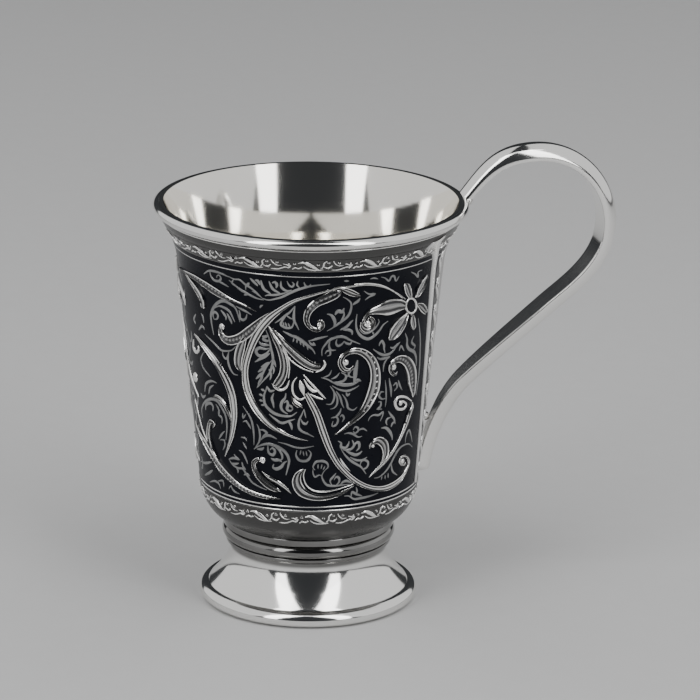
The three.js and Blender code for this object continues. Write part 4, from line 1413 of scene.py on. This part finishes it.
def handle_line():
    """The strap's flat inner face seen from the side: five curves from the lip to the tip of the tail."""
    rim = Vector((rim_radius - RIM_JOINT_SUNK, rim_z - RIM_JOINT_DROP))
    crown = Vector((rim_radius + CROWN_OUT, rim_z + CROWN_RISE))
    elbow = Vector((rim_radius + HANDLE_REACH, crown.y - ELBOW_DROP))
    strut = elbow - Vector((STRUT_IN, STRUT_DOWN))
    knee_z = wall_foot[1] + KNEE_RISE
    knee = Vector((cup_radius(knee_z) + KNEE_OUT, knee_z))
    tail_z = wall_foot[1] + TAIL_RISE
    tail = Vector((cup_radius(tail_z) + JOINT_SEAM, tail_z))
    slant = (strut - knee).normalized()
    bend = Vector((cos(KNEE_SLOPE), sin(KNEE_SLOPE)))
    run = (strut - knee).length
    fall = (knee - tail).length
    return [
        (rim, rim + Vector((SPRING_OUT, SPRING_RISE)), crown - Vector((CROWN_OUT / 2, 0)), crown),
        (
            crown,
            crown + Vector((QUARTER_ROUND * (elbow.x - crown.x), 0)),
            elbow + Vector((0, QUARTER_ROUND * ELBOW_DROP)),
            elbow,
        ),
        (elbow, elbow - Vector((0, STRUT_DOWN / 2)), strut + slant * STRUT_IN / 2, strut),
        (strut, strut - slant * run * KNEE_EASE, knee + bend * run * KNEE_EASE, knee),
        (knee, knee - bend * fall * KNEE_EASE, tail + Vector(lean) * fall * TAIL_EASE, tail),
    ]


HANDLE_LINE = handle_line()
TAIL_END = len(HANDLE_LINE)


def handle_place(along):
    """A place on the handle's line and the way out from its flat face: 1.5 is midway on the second curve."""
    index = min(int(along), TAIL_END - 1)
    a, b, c, d = HANDLE_LINE[index]
    t = along - index
    s = 1 - t
    middle = a * s**3 + 3 * b * s**2 * t + 3 * c * s * t**2 + d * t**3
    run = ((b - a) * s**2 + 2 * (c - b) * s * t + (d - c) * t**2).normalized()
    return middle, Vector((-run.y, run.x))


def eased(value, low, high):
    """A share from 0 to 1 that starts and ends gently between two values."""
    share = min(max((value - low) / (high - low), 0), 1)
    return share * share * (3 - 2 * share)


def mixed(first, second, share):
    """A value part of the way from the first to the second."""
    return first + (second - first) * share


EDGE_SOFT = 0.22 * MM
DOME_SHARE = 0.62
FLAT_SHARE = 0.6


def strap_section(turn, width, edge, crown):
    """A point of the strap's section: across the strap, and out from its flat face."""
    half = width / 2
    if turn < DOME_SHARE:
        angle = pi * turn / DOME_SHARE
        return half * cos(angle), edge + crown * sin(angle)
    share = (turn - DOME_SHARE) / (1 - DOME_SHARE)
    across = 2 * share - 1
    reach = half - EDGE_SOFT
    if abs(across) < FLAT_SHARE:
        return across / FLAT_SHARE * reach, 0
    corner = (abs(across) - FLAT_SHARE) / (1 - FLAT_SHARE) * pi / 2
    side = 1 if across > 0 else -1
    return side * (reach + EDGE_SOFT * sin(corner)), edge / 2 * (1 - cos(corner))


# Counted in curves of the handle's line: where the strap starts to narrow, and how long its tip is.
STRUT_FOOT = 3
TIP_LENGTH = 0.05
TIP_SHARE = 0.35


def strap_corner(around, along):
    """A corner of the strap: around its section, and along the handle's line."""
    reach = TAIL_END * along
    middle, out = handle_place(reach)
    filled = eased(reach, 0, 1)
    narrowed = eased(reach, STRUT_FOOT, TAIL_END)
    thinned = eased(reach, TAIL_END - 1, TAIL_END)
    tip = max((reach - TAIL_END + TIP_LENGTH) / TIP_LENGTH, 0)
    rounded = mixed(1, TIP_SHARE, 1 - sqrt(1 - tip * tip))
    width = mixed(mixed(RIM_END_WIDTH, STRAP_WIDTH, filled), TAIL_WIDTH, narrowed) * rounded
    edge = mixed(STRAP_EDGE, TAIL_EDGE, thinned) * rounded
    crown = mixed(mixed(RIM_END_CROWN, STRAP_CROWN, filled), TAIL_CROWN, thinned) * rounded
    across, rise = strap_section(around, width, edge, crown)
    spot = middle + out * rise
    return Vector((AXIS_X + spot.x, across, spot.y))


SECTION_STEPS = 50
bm = bmesh.new()
grid_piece(bm, SECTION_STEPS, STRAP_STEPS * TAIL_END, strap_corner)
closed_ends(bm)
handle = finished("strap_handle", bm, "polished_silver", MIRROR_SILVER)
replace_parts(handle, "handle_strap")

# Handle solder: runs of silver solder in the corners where the strap meets the lip and the wall.
# They are left softly uneven, as they flowed.
LUMP = 0.3 * MM
LUMP_SPACE = 1.6 * MM
SOLDER_CUTS = 3
SOLDER_SMOOTHING = 4
UNDER_LIP = Vector((-0.6 * MM, 0, 2.5 * MM))
ON_WALL = Vector((-0.3 * MM, 0, 0))
UPPER_SPREAD = 1.15
LOWER_SPREAD = 1.2


def flowed_run(name, node, settled, spread):
    """The solid of a solder run, settled into its corner, spread across it and made uneven."""
    bm = bmesh.new()
    bm.from_mesh(bpy.data.objects[node].data)
    bmesh.ops.remove_doubles(bm, verts=bm.verts, dist=MERGE)
    bmesh.ops.subdivide_edges(bm, edges=bm.edges, cuts=SOLDER_CUTS, use_grid_fill=True)
    bmesh.ops.triangulate(bm, faces=bm.faces)
    for _ in range(SOLDER_SMOOTHING):
        bmesh.ops.smooth_vert(
            bm, verts=bm.verts, factor=0.5, use_axis_x=True, use_axis_y=True, use_axis_z=True
        )
    bm.normal_update()
    for corner in bm.verts:
        corner.co += settled + corner.normal * LUMP * noise.noise(corner.co / LUMP_SPACE)
        corner.co.y *= spread
    piece = finished(name, bm, "solder", FLOWED_SOLDER)
    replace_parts(piece, node)


flowed_run("upper_solder_run", "upper_handle_solder", UNDER_LIP, UPPER_SPREAD)
flowed_run("lower_solder_run", "lower_handle_solder", ON_WALL, LOWER_SPREAD)

# Studio: a plain pale floor, and at each side of the lens a large soft box with a brighter strip beside it.
# A narrow light hangs over the mug.
FLOOR_SIDE = 6.0
FLOOR_TONE = (0.55, 0.55, 0.55, 1)
FLOOR_GRAIN = (0.528, 0.528, 0.528, 1)
WORLD_TONE = (0.035, 0.037, 0.04, 1)


def pale_floor():
    """A matt pale sweep with a barely seen grain."""
    finish = Finish("pale_floor")
    grain = finish.noise(finish.place(), scale=160.0)
    return finish.surface({
        "Base Color": finish.blend(grain, FLOOR_TONE, FLOOR_GRAIN),
        "Roughness": 0.8,
    })


bm = bmesh.new()
bmesh.ops.create_grid(bm, x_segments=4, y_segments=4, size=FLOOR_SIDE / 2)
floor_mesh = bpy.data.meshes.new("floor")
bm.to_mesh(floor_mesh)
bm.free()
floor_mesh.materials.append(pale_floor().material)
floor = bpy.data.objects.new("floor", floor_mesh)
bpy.context.scene.collection.objects.link(floor)

MUG_MIDDLE = Vector((AXIS_X, 0, rim_z / 2))
TOWARDS_LENS = -pi / 2 - HANDLE_TURN
LIGHT_DISTANCE = 0.9
# Each light has its turn from the lens towards the right and its climb above the table, in degrees,
# then its width and its height in metres, and its power in watts.
SOFT_BOXES = {
    "left_panel": (-99, 40, 2.0, 1.5, 7.5),
    "left_strip": (-38, 40, 0.26, 1.3, 4.2),
    "right_panel": (99, 40, 2.0, 1.5, 7.5),
    "right_strip": (38, 40, 0.26, 1.3, 4.2),
    "top_panel": (0, 80, 0.8, 0.1, 0.6),
}


def soft_box(name, turn, climb, width, height, power):
    """An area light that faces the mug."""
    heading = TOWARDS_LENS + radians(turn)
    slope = radians(climb)
    way = Vector((cos(heading) * cos(slope), sin(heading) * cos(slope), sin(slope)))
    light = bpy.data.lights.new(name, "AREA")
    light.shape = "RECTANGLE"
    light.size = width
    light.size_y = height
    light.energy = power
    lamp = bpy.data.objects.new(name, light)
    facing = way.to_track_quat("Z", "Y").to_matrix().to_4x4()
    lamp.matrix_world = Matrix.Translation(MUG_MIDDLE + way * LIGHT_DISTANCE) @ facing
    bpy.context.scene.collection.objects.link(lamp)


for name, settings in SOFT_BOXES.items():
    soft_box(name, *settings)

world = bpy.data.worlds.new("studio")
bpy.context.scene.world = world
world.use_nodes = True
world.node_tree.nodes["Background"].inputs["Color"].default_value = WORLD_TONE
